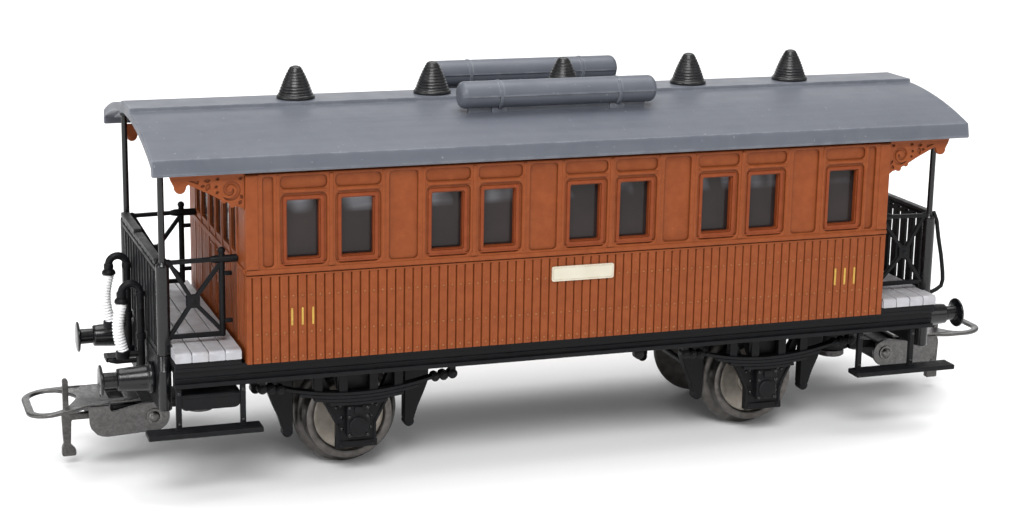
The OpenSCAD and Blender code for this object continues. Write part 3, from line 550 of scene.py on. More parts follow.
def make_tank(side, name):
    """Roof tank moulded in two halves, the lower one narrower so that it lies in shade."""
    low, high = box_mm("roof_tank_" + name)
    middle, half = (low.x + high.x) / 2, (high.x - low.x) / 2
    bm = bmesh.new()
    steps = 40
    end = 0.8
    turn = [math.radians(15 * i) for i in range(1, 7)]
    profile = [(-half, 0.02), (-half, TANK_R - end)]
    profile += [(-half + end - end * math.cos(t), TANK_R - end + end * math.sin(t)) for t in turn]
    profile += [(-along, radius) for along, radius in reversed(profile)]
    for start, scale in ((0, 1.0), (180, 0.9)):
        turns = [math.radians(start + 180 * i / steps) for i in range(steps + 1)]
        rows = []
        for along, radius in profile:
            r = radius * scale
            row = [(middle + along, -TANK_Y + r * math.cos(t), TANK_Z + r * math.sin(t)) for t in turns]
            rows.append([bm.verts.new(p) for p in row])
        for a, b in zip(rows, rows[1:]):
            for i in range(steps):
                bm.faces.new((a[i], a[i + 1], b[i + 1], b[i]))
            bm.faces.new((a[0], b[0], b[-1], a[-1]))
        for row in (rows[0], rows[-1]):
            bm.faces.new(row)
    for x in (-BAND_X, BAND_X):
        band = [(-0.2, TANK_R - 0.3), (-0.2, TANK_R + 0.03), (-0.14, TANK_R + 0.07), (0.14, TANK_R + 0.07)]
        band += [(0.2, TANK_R + 0.03), (0.2, TANK_R - 0.3)]
        add_lathe(bm, band, (middle + x, -TANK_Y, TANK_Z), (1, 0, 0), 64)
    for x in (-BAND_X, BAND_X):
        foot = arch_z(ROOF_R, TANK_Y - 0.7)
        saddle = [(-TANK_Y - 0.65, foot - 0.25), (-TANK_Y + 0.65, foot - 0.02), (-TANK_Y + 0.65, foot + 0.35)]
        saddle += [(-TANK_Y + 0.45, TANK_Z - 1.2), (-TANK_Y - 0.45, TANK_Z - 1.2),
                   (-TANK_Y - 0.65, foot + 0.2)]
        add_prism(bm, saddle, middle + x - 0.95, middle + x + 0.95, "yz", 0.1)
    # Low keel that joins the tank to the roof along its whole length
    keel = arch_z(ROOF_R, TANK_Y)
    add_box(bm, (middle - half + 1.2, -TANK_Y - 0.3, keel - 0.2),
            (middle + half - 1.2, -TANK_Y + 0.3, keel + 0.8), 0.05)
    piece("tank_" + name, bm, roof_grey, replaces=["roof_tank_" + name], side=side)


VENT_TOP = box_mm("roof_vents")[1].z
vent_xs = [WINDOW_X0 + k * PAIR_PITCH + WINDOW_PITCH / 2 for k in PAIRS]
vent_xs.append(WINDOW_X0 + len(PAIRS) * PAIR_PITCH + 0.5)


def make_vents():
    """Ventilators with a wide foot and a cone of rounded rings."""
    foot_z = ROOF_TOP + 0.35
    profile = [(0, 2.3), (0.1, 2.35), (0.3, 2.34), (0.45, 2.24), (0.5, 2.16)]
    rings = 9
    ring_z = 0.5
    ring_h = (VENT_TOP - foot_z - ring_z - 0.4) / rings
    for i in range(rings):
        z = ring_z + i * ring_h
        rise = z - ring_z
        radius = 2.14 - 0.36 * rise - 0.008 * rise**3
        profile += [(z + 0.02, radius - 0.03), (z + 0.07, radius), (z + ring_h * 0.55, radius - 0.05)]
        profile.append((z + ring_h * 0.9, radius - 0.17))
    start, cap = profile[-1]
    top = VENT_TOP - foot_z
    for i in range(1, 8):
        t = math.radians(90 * i / 7)
        profile.append((start + (top - start) * math.sin(t), max(0.015, cap * math.cos(t))))
    bm = bmesh.new()
    for x in vent_xs:
        add_lathe(bm, profile, (x, 0, foot_z), (0, 0, 1), 56)
    piece("vents", bm, vent_black, replaces=["roof_vents"], sharp=50)


make_roof()
for side in (NEAR, FAR):
    make_tank(side, SIDE_NAME[side])
make_vents()


# ---------- body ----------
PLANKS = 76
PLANK_X0 = -BX + 0.7
PLANK_PITCH = (2 * BX - 1.4) / PLANKS
RECESS_W, RECESS_Z0, RECESS_Z1 = 5.5, 27.8, 36.45
LIGHT_Z0, LIGHT_Z1 = 36.95, 38.5
BLANK_W, SLOT_W, SLOT_X = 3.5, 1.25, 38.85
FRAME_TOP = BODY_TOP - 0.95


def window_hole(x, grow=0.0, radius=0.25):
    return round_rect(x - WINDOW_W / 2 - grow, WINDOW_Z - grow, x + WINDOW_W / 2 + grow,
                      WINDOW_Z + WINDOW_H + grow, radius, 4)


def planked_face(bm, edges, base, z0, z1, depth, plane="xz", groove=0.15):
    """A face of upright planks with a rounded groove at each edge, closed at the back."""
    lip = 0.07
    section = [(edges[0], 0.0)]
    for e in edges[1:-1]:
        section += [(e - groove, 0.0), (e - groove + lip, 0.05), (e, 0.2), (e + groove - lip, 0.05),
                    (e + groove, 0.0)]
    section.append((edges[-1], 0.0))
    out = 1 if depth > 0 else -1
    place = PLANES[plane]
    low = [bm.verts.new(place(a, z0, base + out * d)) for a, d in section]
    high = [bm.verts.new(place(a, z1, base + out * d)) for a, d in section]
    back = [bm.verts.new(place(a, z, base + depth)) for a, z in
            ((edges[0], z0), (edges[-1], z0), (edges[-1], z1), (edges[0], z1))]
    for i in range(len(section) - 1):
        bm.faces.new((low[i], low[i + 1], high[i + 1], high[i]))
    bm.faces.new(low + [back[1], back[0]])
    bm.faces.new(high + [back[2], back[3]])
    bm.faces.new((low[0], high[0], back[3], back[0]))
    bm.faces.new((low[-1], high[-1], back[2], back[1]))
    bm.faces.new(back)


def make_side(side, name):
    """Side wall: frame and panels above the waist rail, planks below it, nails and sashes."""
    # Wall behind the panels
    bm = bmesh.new()
    wall = [rect(-BX, BODY_Z, BX, BODY_TOP)] + [window_hole(x, 0.05) for x in window_xs]
    add_plate(bm, wall, -PANEL_Y, -PANEL_Y + WALL, bevel=0.03)
    # Raised frame round the panels
    loops = [rect(-BX, WAIST_Z + 0.3, BX, FRAME_TOP)]
    for x in window_xs:
        loops.append(round_rect(x - RECESS_W / 2, RECESS_Z0 + 0.05, x + RECESS_W / 2, RECESS_Z1, 0.75))
        loops.append(round_rect(x - RECESS_W / 2, LIGHT_Z0, x + RECESS_W / 2, LIGHT_Z1, 0.55))
    for x in blank_xs:
        loops.append(round_rect(x - BLANK_W / 2, RECESS_Z0 + 0.05, x + BLANK_W / 2, LIGHT_Z1, 0.5))
    for x in (-SLOT_X, SLOT_X):
        loops.append(round_rect(x - SLOT_W / 2, RECESS_Z0 + 0.05, x + SLOT_W / 2, LIGHT_Z1, 0.4))
    add_plate(bm, loops, -BY, -PANEL_Y + 0.05, bevel=0.13, resolution=3)
    # Ribs between windows, pilasters and rails stand a little further out with rounded faces
    ribs = [x + WINDOW_PITCH / 2 for x in window_xs[:-1:2]]
    for x in ribs:
        add_box(bm, (x - 0.24, -BY - 0.1, WAIST_Z + 0.9), (x + 0.24, -BY + 0.1, FRAME_TOP - 0.15), 0.1, 3)
        add_box(bm, (x - 0.42, -BY - 0.14, WAIST_Z + 0.62), (x + 0.42, -BY + 0.1, WAIST_Z + 1.1), 0.12, 3)
    posts = [x + m * (RECESS_W / 2 + 0.28) for x in window_xs for m in (-1, 1)]
    for x in posts:
        if min(abs(x - r) for r in ribs) < 0.9:
            continue
        add_box(bm, (x - 0.16, -BY - 0.08, WAIST_Z + 0.9), (x + 0.16, -BY + 0.1, FRAME_TOP - 0.15), 0.08, 3)
    for x in (-BX + 0.75, BX - 0.75):
        add_box(bm, (x - 0.72, -BY - 0.1, WAIST_Z + 0.9), (x + 0.72, -BY + 0.1, FRAME_TOP - 0.1), 0.14, 3)
        add_box(bm, (x - 0.74, -BY - 0.16, WAIST_Z + 0.62), (x + 0.74, -BY + 0.1, WAIST_Z + 1.3), 0.14, 3)
    # Rounded rail between the windows and the small panels
    for x in window_xs:
        add_box(bm, (x - RECESS_W / 2 + 0.1, -BY - 0.12, 36.53), (x + RECESS_W / 2 - 0.1, -BY + 0.1, 36.88),
                0.12, 3)
    # Waist rail: a rounded moulding with a thin bead below it
    rail = [(-BY + 0.3, WAIST_Z), (-BY - 0.12, WAIST_Z), (-BY - 0.2, WAIST_Z + 0.12),
            (-BY - 0.2, WAIST_Z + 0.4)]
    rail += [(-BY - 0.1, WAIST_Z + 0.56), (-BY + 0.3, WAIST_Z + 0.64)]
    add_prism(bm, rail, -BX, BX, "yz", 0.05, 20)
    add_box(bm, (-BX, -BY - 0.06, WAIST_Z - 0.34), (BX, -BY + 0.2, WAIST_Z - 0.12), 0.06, 2)
    # Planking, with plain corner boards at both ends
    edges = [-BX] + [PLANK_X0 + i * PLANK_PITCH for i in range(PLANKS + 1)] + [BX]
    planked_face(bm, edges, -BY, BODY_Z, WAIST_Z - 0.1, 0.4)
    piece("side_" + name, bm, brown, side=side, sharp=35,
          replaces=["body_shell"] if side == NEAR else [])
    # Nail heads in three rows
    bm = bmesh.new()
    for i in range(PLANKS):
        x = PLANK_X0 + (i + 0.5) * PLANK_PITCH
        for z in (24.3, 19.9, 16.95):
            add_ball(bm, (x, -BY, z), 0.17, 8)
    piece("nails_" + name, bm, nail_brass, side=side, sharp=60)
    # Sash frame of each window, seen through the wall as its reveal
    bm = bmesh.new()
    for x in window_xs:
        loops = [window_hole(x, 0.42, 0.3), window_hole(x, 0.0, 0.22)]
        add_plate(bm, loops, -PANEL_Y - 0.17, -PANEL_Y + 0.2, bevel=0.09, resolution=3)
        loops = [window_hole(x, 0.1, 0.3), window_hole(x, -0.12, 0.2)]
        add_plate(bm, loops, -PANEL_Y + 0.1, -PANEL_Y + WALL - 0.05, bevel=0.05)
        sill = (x - WINDOW_W / 2 - 0.55, x + WINDOW_W / 2 + 0.55)
        add_box(bm, (sill[0], -PANEL_Y - 0.24, WINDOW_Z - 0.58), (sill[1], -PANEL_Y + 0.1, WINDOW_Z - 0.36),
                0.09, 3)
    piece("sashes_" + name, bm, sash_brown, side=side)


def make_end(end, name):
    """End wall with tall lights, mouldings, planks below the belt and a two-leaf door."""
    lights = [(-10.9, 2.4), (-6.75, 3.6), (-2.0, 2.8), (2.0, 2.8), (6.75, 3.6), (10.9, 2.4)]
    z0, z1 = 28.6, 37.6
    steps = 20
    radius = ROOF_R - 1.12
    half = PANEL_Y - 0.2
    ys = [half - 2 * half * i / steps for i in range(steps + 1)]
    top = [(y, arch_z(radius, y)) for y in ys]
    wall = [[(-half, BODY_Z), (half, BODY_Z)] + top]
    wall += [round_rect(y - w / 2, z0, y + w / 2, z1, 0.25, 4) for y, w in lights]
    bm = bmesh.new()
    add_plate(bm, wall, -BX - 0.03, -BX + WALL, "yz", 0.04)
    face = -BX
    # Raised frame round each light
    for y, w in lights:
        ring = [round_rect(y - w / 2 - 0.36, z0 - 0.36, y + w / 2 + 0.36, z1 + 0.36, 0.35, 4),
                round_rect(y - w / 2, z0, y + w / 2, z1, 0.25, 4)]
        add_plate(bm, ring, face - 0.12, face + 0.1, "yz", 0.06)
    # Upright mouldings
    for y, w in ((-13.0, 0.5), (-8.95, 0.5), (-4.1, 0.6), (0.0, 0.34), (4.1, 0.6), (8.95, 0.5), (13.0, 0.5)):
        tall = arch_z(radius, abs(y) + w) - 0.5
        add_box(bm, (face - 0.18, y - w / 2, BODY_Z + 1.7), (face + 0.1, y + w / 2, tall), 0.1, 3)
    # Belt and top rail
    for low, high, out in ((WAIST_Z, WAIST_Z + WAIST_H, 0.2), (38.25, 38.6, 0.14)):
        add_box(bm, (face - out, -half, low), (face + 0.1, half, high), 0.09, 3)
    # Planks below the belt
    for y0, y1 in ((-16.6, -13.3), (-12.7, -9.25), (-8.65, -4.45), (4.45, 8.65), (9.25, 12.7), (13.3, 16.6)):
        count = round((y1 - y0) / 1.07)
        edges = [y0 + (y1 - y0) * i / count for i in range(count + 1)]
        planked_face(bm, edges, face - 0.1, floor_high.z, WAIST_Z - 0.05, 0.2, "yz", 0.13)
    # Door panels below the lights
    for y in (-2.0, 2.0):
        for low, high in ((19.3, 22.6), (23.2, 26.6)):
            ring = [round_rect(y - 1.45, low, y + 1.45, high, 0.3, 4),
                    round_rect(y - 1.15, low + 0.3, y + 1.15, high - 0.3, 0.2, 4)]
            add_plate(bm, ring, face - 0.14, face + 0.1, "yz", 0.05)
    piece("end_" + name, bm, brown, end=end)
    # Clear blocks on the window strip, which fill the openings
    bm = bmesh.new()
    for y, w in lights:
        add_box(bm, (face + 0.2, y - w / 2 + 0.02, z0 + 0.02),
                (face + WALL + 0.1, y + w / 2 - 0.02, z1 - 0.02), 0.05)
    piece("glass_" + name, bm, smoke, end=end)
    # Door handle
    bm = bmesh.new()
    add_lathe(bm, [(0, 0.3), (0.08, 0.34), (0.16, 0.3)], (face - 0.18, 0.55, 24.9), (-1, 0, 0), 20)
    add_tube(bm, [(face - 0.2, 0.55, 24.9), (face - 0.42, 0.55, 24.9), (face - 0.45, 0.75, 24.9),
                  (face - 0.45, 1.25, 24.88)], 0.12, 10)
    piece("door_handle_" + name, bm, nail_brass, end=end)


def make_bars(side, name):
    """Three plain gold bars near each end of the side."""
    bm = bmesh.new()
    for xs, z0, z1 in (((-36.15, -34.9, -33.65), 20.75, 22.85), ((34.55, 35.9, 37.25), 20.75, 22.95)):
        for x in xs:
            add_plate(bm, [round_rect(x - 0.12, z0, x + 0.12, z1, 0.1, 4)], -BY - 0.07, -BY + 0.05,
                      bevel=0.03)
    piece("gold_bars_" + name, bm, gold, side=side)


def make_nameboards():
    """Blank plates with a thin raised rim."""
    for side in (NEAR, FAR):
        bm = bmesh.new()
        plate = round_rect(-4.05, 23.85, 4.0, 25.7, 0.25, 5)
        field = round_rect(-3.87, 24.03, 3.82, 25.52, 0.15, 5)
        add_plate(bm, [plate], -BY - 0.2, -BY + 0.02, bevel=0.05)
        add_plate(bm, [plate, field], -BY - 0.25, -BY - 0.1, bevel=0.04)
        piece("nameplate_" + SIDE_NAME[side], bm, cream, side=side,
              replaces=["nameboards"] if side == NEAR else [])


def leaf(a, b, length, width, turn):
    """Pointed leaf outline about (a, b), its tip turned by an angle in degrees."""
    outline = []
    steps = 7
    for i in range(steps + 1):
        t = i / steps
        outline.append((length * t, width / 2 * math.sin(math.pi * t)))
    outline += [(p, -q) for p, q in reversed(outline[1:-1])]
    c, s = math.cos(math.radians(turn)), math.sin(math.radians(turn))
    return [(a + p * c - q * s, b + p * s + q * c) for p, q in outline]


def spiral(a, b, outer, inner, width, sweep, start, steps=36):
    """A groove that winds inwards from the angle start, tapering at both ends."""
    sides = ([], [])
    for i in range(steps + 1):
        t = i / steps
        angle = math.radians(start + sweep * t)
        middle = outer + (inner - outer) * t
        half = width / 2 * min(1, 6 * t + 0.15, 4 * (1 - t) + 0.15)
        for line, radius in zip(sides, (middle + half, middle - half)):
            line.append((a + radius * math.cos(angle), b + radius * math.sin(angle)))
    return sides[0] + sides[1][::-1]


def make_bracket(end, side, name):
    """Moulded bracket: a sunk scroll by the body, sunk leaves along it and a lobed outer end."""
    low, high = box_mm("bracket_" + name)
    x0, x1 = (low.x, high.x) if end == L else (-high.x, -low.x)
    top = high.z
    outline = [(x0, top), (x0 + 0.25, top - 0.75)]
    outline += arc(x0 + 1.25, top - 1.55, 0.66, 170, 350, 12)
    outline += [(x0 + 2.02, top - 1.3), (x0 + 2.2, top - 1.22), (x0 + 4.6, top - 2.4)]
    for a, b in ((x0 + 6.2, top - 3.2), (x0 + 7.2, top - 3.75)):
        outline += arc(a, b, 0.34, 165, 330, 7)
    outline += [(x1 - 0.55, top - 4.05), (x1, top - 4.45), (x1, top)]
    holes = [
        spiral(x1 - 1.6, top - 2.0, 1.18, 0.26, 0.42, 520, 225),
        leaf(x1 - 0.2, top - 0.6, 0.5, 0.36, 200),
        leaf(x1 - 0.2, top - 3.1, 0.5, 0.36, 120),
        leaf(x1 - 0.65, top - 3.75, 0.55, 0.4, 60),
        leaf(x1 - 3.3, top - 0.7, 0.45, 0.36, 10),
        leaf(x1 - 3.45, top - 1.65, 0.42, 0.34, 20),
        leaf(x1 - 3.3, top - 2.35, 0.4, 0.34, 30),
        leaf(x1 - 4.35, top - 2.0, 0.95, 0.55, 70),
        leaf(x1 - 4.6, top - 0.8, 0.7, 0.46, 0),
        leaf(x1 - 5.0, top - 1.5, 0.5, 0.34, 20),
        [(x1 - 6.3, top - 0.78), (x1 - 5.2, top - 0.78), (x1 - 5.3, top - 1.2)],
    ]
    y0, y1 = -17.3, -16.7
    bm = bmesh.new()
    add_plate(bm, [outline] + holes, y0, y0 + 0.3, bevel=0.07)
    add_plate(bm, [outline], y0 + 0.2, y1, bevel=0.08)
    add_box(bm, (x0 + 0.15, y0 - 0.06, top - 0.34), (x1, y0 + 0.3, top), 0.08, 2)
    piece("bracket_" + name + "_fret", bm, brown, replaces=["bracket_" + name], end=end,
          side=side)


nail_brass = brown_plastic("nail_brass", (0.25, 0.08, 0.025), (0.34, 0.14, 0.055))
for side in (NEAR, FAR):
    make_side(side, SIDE_NAME[side])
    make_bars(side, SIDE_NAME[side])
for end, name in ENDS:
    make_end(end, name)
make_nameboards()
for end, side, name in CORNERS:
    make_bracket(end, side, name)


# ---------- platforms ----------
FLOOR_TOP = floor_high.z
FLOOR_X0, FLOOR_X1 = -floor_high.x, -floor_low.x
BOARD_W = 1.96
POST_X, POST_Y = 50.4, 13.0
POST_R, POST_FOOT_R = 0.37, 0.8
POST_Z0 = 17.04  # foot of the corner posts, on the buffer beam
POST_SHOULDER_Z = 27.6
RAIL_X, RAIL_TOP = 50.75, 28.6


def make_floor(end, name):
    """Floor of four boards with rounded ends."""
    bm = bmesh.new()
    for i in range(4):
        x0 = -FLOOR_X1 + BOARD_W * i + 0.06
        x1 = -FLOOR_X1 + BOARD_W * (i + 1) - 0.06
        section = [(-17.1, floor_low.z), (-17.1, FLOOR_TOP - 0.45)]
        section += arc(-16.65, FLOOR_TOP - 0.45, 0.45, 180, 90, 5)[1:]
        section += [(-y, z) for y, z in reversed(section)]
        if i == 0:
            for a, b in ((-17.1, -POST_Y - 1), (-POST_Y + 1, POST_Y - 1), (POST_Y + 1, 17.1)):
                clipped = [(y, z) for y, z in section if a <= y <= b]
                if a > -17:
                    clipped = [(a, floor_low.z), (a, FLOOR_TOP)] + clipped
                if b < 17:
                    clipped = clipped + [(b, FLOOR_TOP), (b, floor_low.z)]
                add_prism(bm, clipped, x0, x1, "yz", 0.07)
            for y in (-POST_Y, POST_Y):
                add_box(bm, (x0 + 0.3, y - 1.02, floor_low.z), (x1, y + 1.02, FLOOR_TOP), 0.05)
        else:
            add_prism(bm, section, x0, x1, "yz", 0.07)
    add_box(bm, (-FLOOR_X1 + 0.4, -16.9, floor_low.z), (-FLOOR_X0, 16.9, FLOOR_TOP - 0.3), 0.04)
    piece("floor_" + name, bm, silver, replaces=["platform_floor_" + name], end=end)


def make_railing(end, name):
    """End railing of flat bars between the corner posts, with its worn cap in two lengths."""
    inner = POST_Y - 0.85
    x0, x1 = -RAIL_X - 0.25, -RAIL_X + 0.25
    bm = bmesh.new()
    for i in range(-5, 6):
        y = i * 2.05
        add_box(bm, (x0 + 0.02, y - 0.62, 17.3), (x1 - 0.02, y + 0.62, RAIL_TOP - 0.6), 0.08, 3)
        add_box(bm, (x0 - 0.12, y - 0.2, 17.7), (x0 + 0.1, y + 0.2, 26.8), 0.06, 2)
    for z, h in ((17.02, 0.75), (26.9, 0.5), (27.7, 0.35)):
        add_box(bm, (x0 - 0.1, -inner, z), (x1, inner, z + h), 0.1, 3)
    add_box(bm, (x0, -inner, RAIL_TOP - 1.0), (x1, inner, RAIL_TOP - 0.3), 0.08, 2)
    piece("railing_" + name, bm, satin_black, replaces=["end_railing_" + name], end=end)
    bm = bmesh.new()
    for y0, y1, z in ((-inner, 1.4, RAIL_TOP - 0.05), (2.1, inner, RAIL_TOP + 0.2)):
        add_box(bm, (x0 - 0.25, y0, RAIL_TOP - 0.42), (x1 + 0.25, y1, z), 0.12, 3)
    piece("railing_cap_" + name, bm, cap_plastic, end=end)


def make_gate(end, side, name):
    """Corner post, gate with crossed braces, and at the right end the flared stay."""
    bm = bmesh.new()
    post_top = arch_z(ROOF_R - 1.0, POST_Y + POST_R) - 0.05
    foot = [(0, POST_FOOT_R - 0.1), (0.1, POST_FOOT_R)]
    shoulder = POST_SHOULDER_Z - POST_Z0
    profile = foot + [(shoulder, POST_FOOT_R), (shoulder + 0.25, POST_FOOT_R - 0.06), (shoulder + 0.5, 0.5)]
    profile += [(shoulder + 0.7, POST_R + 0.02), (post_top - POST_Z0 - 0.5, POST_R),
                (post_top - POST_Z0 - 0.4, 0.55)]
    profile += [(post_top - POST_Z0 - 0.05, 0.6), (post_top - POST_Z0, 0.55)]
    add_lathe(bm, profile, (-POST_X, -POST_Y, POST_Z0), (0, 0, 1), 32)
    piece("post_" + name, bm, gloss_black, replaces=["side_gate_" + name], end=end,
          side=side, sharp=50)
    y0, y1 = -POST_Y - 0.28, -POST_Y + 0.28
    bm = bmesh.new()
    z0, z1 = 19.15, 28.15
    hang_x = -43.45
    mid = (-46.9, 23.3)
    for p, q, w in (
        ((-POST_X + 0.6, z1 - 0.1), (-44.6, z1), 0.52),
        ((-POST_X + 0.6, z0), (hang_x, z0), 0.55),
        (mid, (-POST_X + 0.9, z0 + 0.3), 0.5),
        (mid, (-POST_X + 0.9, z1 - 0.3), 0.5),
        (mid, (hang_x, z0 + 0.3), 0.5),
        (mid, (hang_x, z1 - 0.3), 0.5),
    ):
        add_prism(bm, bar(p, q, w), y0, y1, "xz", 0.11, 40, 2)
    boss = round_rect(mid[0] - 0.8, mid[1] - 0.8, mid[0] + 0.8, mid[1] + 0.8, 0.3, 5)
    add_plate(bm, [boss], y0 - 0.02, y1 + 0.02)
    add_lathe(bm, [(0, 0.34), (0.05, 0.34), (0.12, 0.2)], (mid[0], y0, mid[1]), (0, -1, 0), 20)
    add_tube(bm, [(hang_x, -POST_Y, z0 - 0.3), (hang_x, -POST_Y, z1 + 0.75)], 0.36, 14)
    # Thick end of the top bar, against the body
    add_tube(bm, [(-44.95, -POST_Y, z1), (-44.7, -POST_Y, z1), (-44.2, -POST_Y, z1),
                  (-BX - 0.02, -POST_Y, z1)],
             [0.26, 0.36, 0.46, 0.46], 16)
    add_ball(bm, (hang_x, -POST_Y, z1 + 1.0), 0.45, 18)
    for z in (20.7, 26.4):
        add_box(bm, (hang_x, y0 + 0.05, z - 0.25), (hang_x + 1.2, y1 - 0.05, z + 0.25), 0.08)
    for z in (z0, z1 - 0.1):
        add_tube(bm, [(-POST_X + 0.3, -POST_Y, z), (-POST_X + 0.8, -POST_Y, z), (-POST_X + 1.15, -POST_Y, z)],
                 [0.42, 0.42, 0.28], 14)
    if end == R:
        stay = [(-51.0, RAIL_TOP - 0.1), (-51.6, 27.2), (-52.0, 25.0), (-52.6, 22.5), (-53.0, 20.2),
                (-53.1, 19.1)]
        stay += [(-52.9, 18.3), (-52.2, 17.85), (-51.3, 17.5)]
        add_tube(bm, [(x, -POST_Y, z) for x, z in stay], 0.27, 12)
    piece("gate_" + name, bm, satin_black, end=end, side=side)
    # Column at the end of the buffer beam, under the post
    column = [(0, 0.66), (0.1, 0.78), (0.2, 0.8), (4.75, 0.8), (4.88, 0.76), (4.95, 0.68), (6.66, 0.68),
              (6.7, 0.64)]
    bm = bmesh.new()
    add_lathe(bm, column, (-POST_X, -POST_Y, 10.31), (0, 0, 1), 40)
    piece("beam_column_" + name, bm, gloss_black, end=end, side=side, sharp=50)


cap_plastic = black_plastic("cap_worn", 0.5, 0.4)
for end, name in ENDS:
    make_floor(end, name)
    make_railing(end, name)
for end, side, name in CORNERS:
    make_gate(end, side, name)


# ---------- underframe ----------
BEAM_X = 51.2
BEAM_T = 1.6
BEAM_Z = 10.3
DECK_Z = 15.0
SOLE_Y = 16.7
SOLE_Z = 13.8
PIVOT_X = 44.0
HOOK_Z = 12.8  # height of the draw hooks
BUFFER_Y, BUFFER_Z = 9.9, 13.5
BOLT_R = 1.62  # distance of a buffer's bolts from its axis


def make_chassis():
    """Deck, solebars, buffer beams, draw hooks and the posts of the couplers."""
    bm = bmesh.new()
    add_box(bm, (-BEAM_X + BEAM_T, -15.25, DECK_Z), (BEAM_X - BEAM_T, 15.25, BODY_Z), 0.05)
    for s in (NEAR, FAR):
        web = s * (SOLE_Y - 0.5)
        flange = s * SOLE_Y
        add_box(bm, (-FLOOR_X1, s * 15.2, SOLE_Z), (FLOOR_X1, web, BODY_Z), 0.06)
        for z0, z1, out in ((BODY_Z - 0.6, BODY_Z, 0.0), (SOLE_Z, SOLE_Z + 0.55, 0.0), (14.75, 14.95, 0.3)):
            add_box(bm, (-FLOOR_X1, s * 15.2, z0), (FLOOR_X1, flange - s * out, z1), 0.09, 3)
        knob = [(0, 0.65), (0.8, 0.65), (0.9, 0.55), (0.98, 0.3)]
        add_lathe(bm, knob, (8.4, s * 15.4, 13.3), (0, s, 0), 24)
    for e in (L, R):
        beam = bmesh.new()
        face = -BEAM_X
        add_box(beam, (face, -POST_Y, BEAM_Z), (face + BEAM_T, POST_Y, 17.0), 0.12, 3)
        add_box(beam, (-FLOOR_X1, -16.7, BODY_Z - 0.2), (-FLOOR_X0, 16.7, 17.0), 0.06)
        # Bolts of the buffer beam, and the plate round the draw hook
        add_plate(beam, [round_rect(-1.7, 11.4, 1.7, 14.2, 0.3, 5)], face - 0.14, face + 0.05, "yz", 0.05)
        for y, z in ((-1.3, 11.8), (1.3, 11.8), (-1.3, 13.8), (1.3, 13.8)):
            add_lathe(beam, [(0, 0.22), (0.12, 0.22), (0.18, 0.12)], (face - 0.14, y, z), (-1, 0, 0), 10)
        # Draw hook
        add_lathe(beam, [(0, 0.68), (0.4, 0.65), (0.5, 0.5)], (face, 0, HOOK_Z), (-1, 0, 0), 24)
        hook = [(face + 0.1, 0, HOOK_Z), (face - 2.2, 0, HOOK_Z), (face - 2.8, 0, 12.78),
                (face - 3.3, 0, 12.9)]
        hook += [(face - 3.6, 0, 12.95), (face - 3.85, 0, 13.0)]
        add_tube(beam, hook, [0.3, 0.3, 0.3, 0.3, 0.26, 0.12], 12)
        # Pivot post of the coupler
        add_lathe(beam, [(0, 1.0), (10.55 - 6.9, 1.0)], (-PIVOT_X, 0, 6.9), (0, 0, 1), 32)
        add_lathe(beam, [(0, 2.0), (0.15, 2.2), (4.5, 2.2)], (-PIVOT_X, 0, 10.6), (0, 0, 1), 40)
        bmesh.ops.transform(beam, matrix=Matrix.Diagonal((-e, 1, 1, 1)), verts=beam.verts)
        mesh = bpy.data.meshes.new("beam")
        beam.to_mesh(mesh)
        beam.free()
        bm.from_mesh(mesh)
        bpy.data.meshes.remove(mesh)
    piece("underframe", bm, satin_black, replaces=["chassis"])


def make_buffer(end, side, name):
    """Buffer with a domed head, shank and stock, and the four bolts of its ring."""
    tip = -box_mm("buffer_left_near")[0].x
    stock = tip - BEAM_X - 2.22
    head = [(0.0, 0.3), (0.02, 0.9), (0.06, 1.45), (0.12, 1.8), (0.2, 1.93), (0.3, 1.95), (0.4, 1.9),
            (0.44, 1.75)]
    head += [(0.52, 1.1), (0.62, 0.97), (2.1, 0.95), (2.16, 1.2), (2.25, 1.32), (2.5, 1.35), (5.5, 1.55),
             (5.7, 1.6)]
    head += [(5.78, 1.72), (5.86, 1.86), (5.95, 1.9), (2.2 + stock - 0.08, 1.9), (2.2 + stock - 0.02, 1.84)]
    bm = bmesh.new()
    add_lathe(bm, head, (-tip, -BUFFER_Y, BUFFER_Z), (1, 0, 0), 64)
    bolt = [(0, 0.2), (0.08, 0.2), (0.14, 0.12), (0.16, 0.04)]
    for t in range(45, 360, 90):
        y, z = BOLT_R * math.cos(math.radians(t)), BOLT_R * math.sin(math.radians(t))
        add_lathe(bm, bolt, (-tip + 5.9, -BUFFER_Y + y, BUFFER_Z + z), (-1, 0, 0), 8)
    piece("buffer_body_" + name, bm, gloss_black, replaces=["buffer_" + name],
          end=end, side=side, sharp=48)


make_chassis()
for end, side, name in CORNERS:
    make_buffer(end, side, name)


# ---------- running gear ----------
GUARD_Y0, GUARD_Y1, BOX_Y = 12.2, 13.2, 14.3
HANG_Z = DECK_Z - 0.02
SPRING_Y0, SPRING_Y1, SPRING_Z = -14.7, -13.4, 9.4


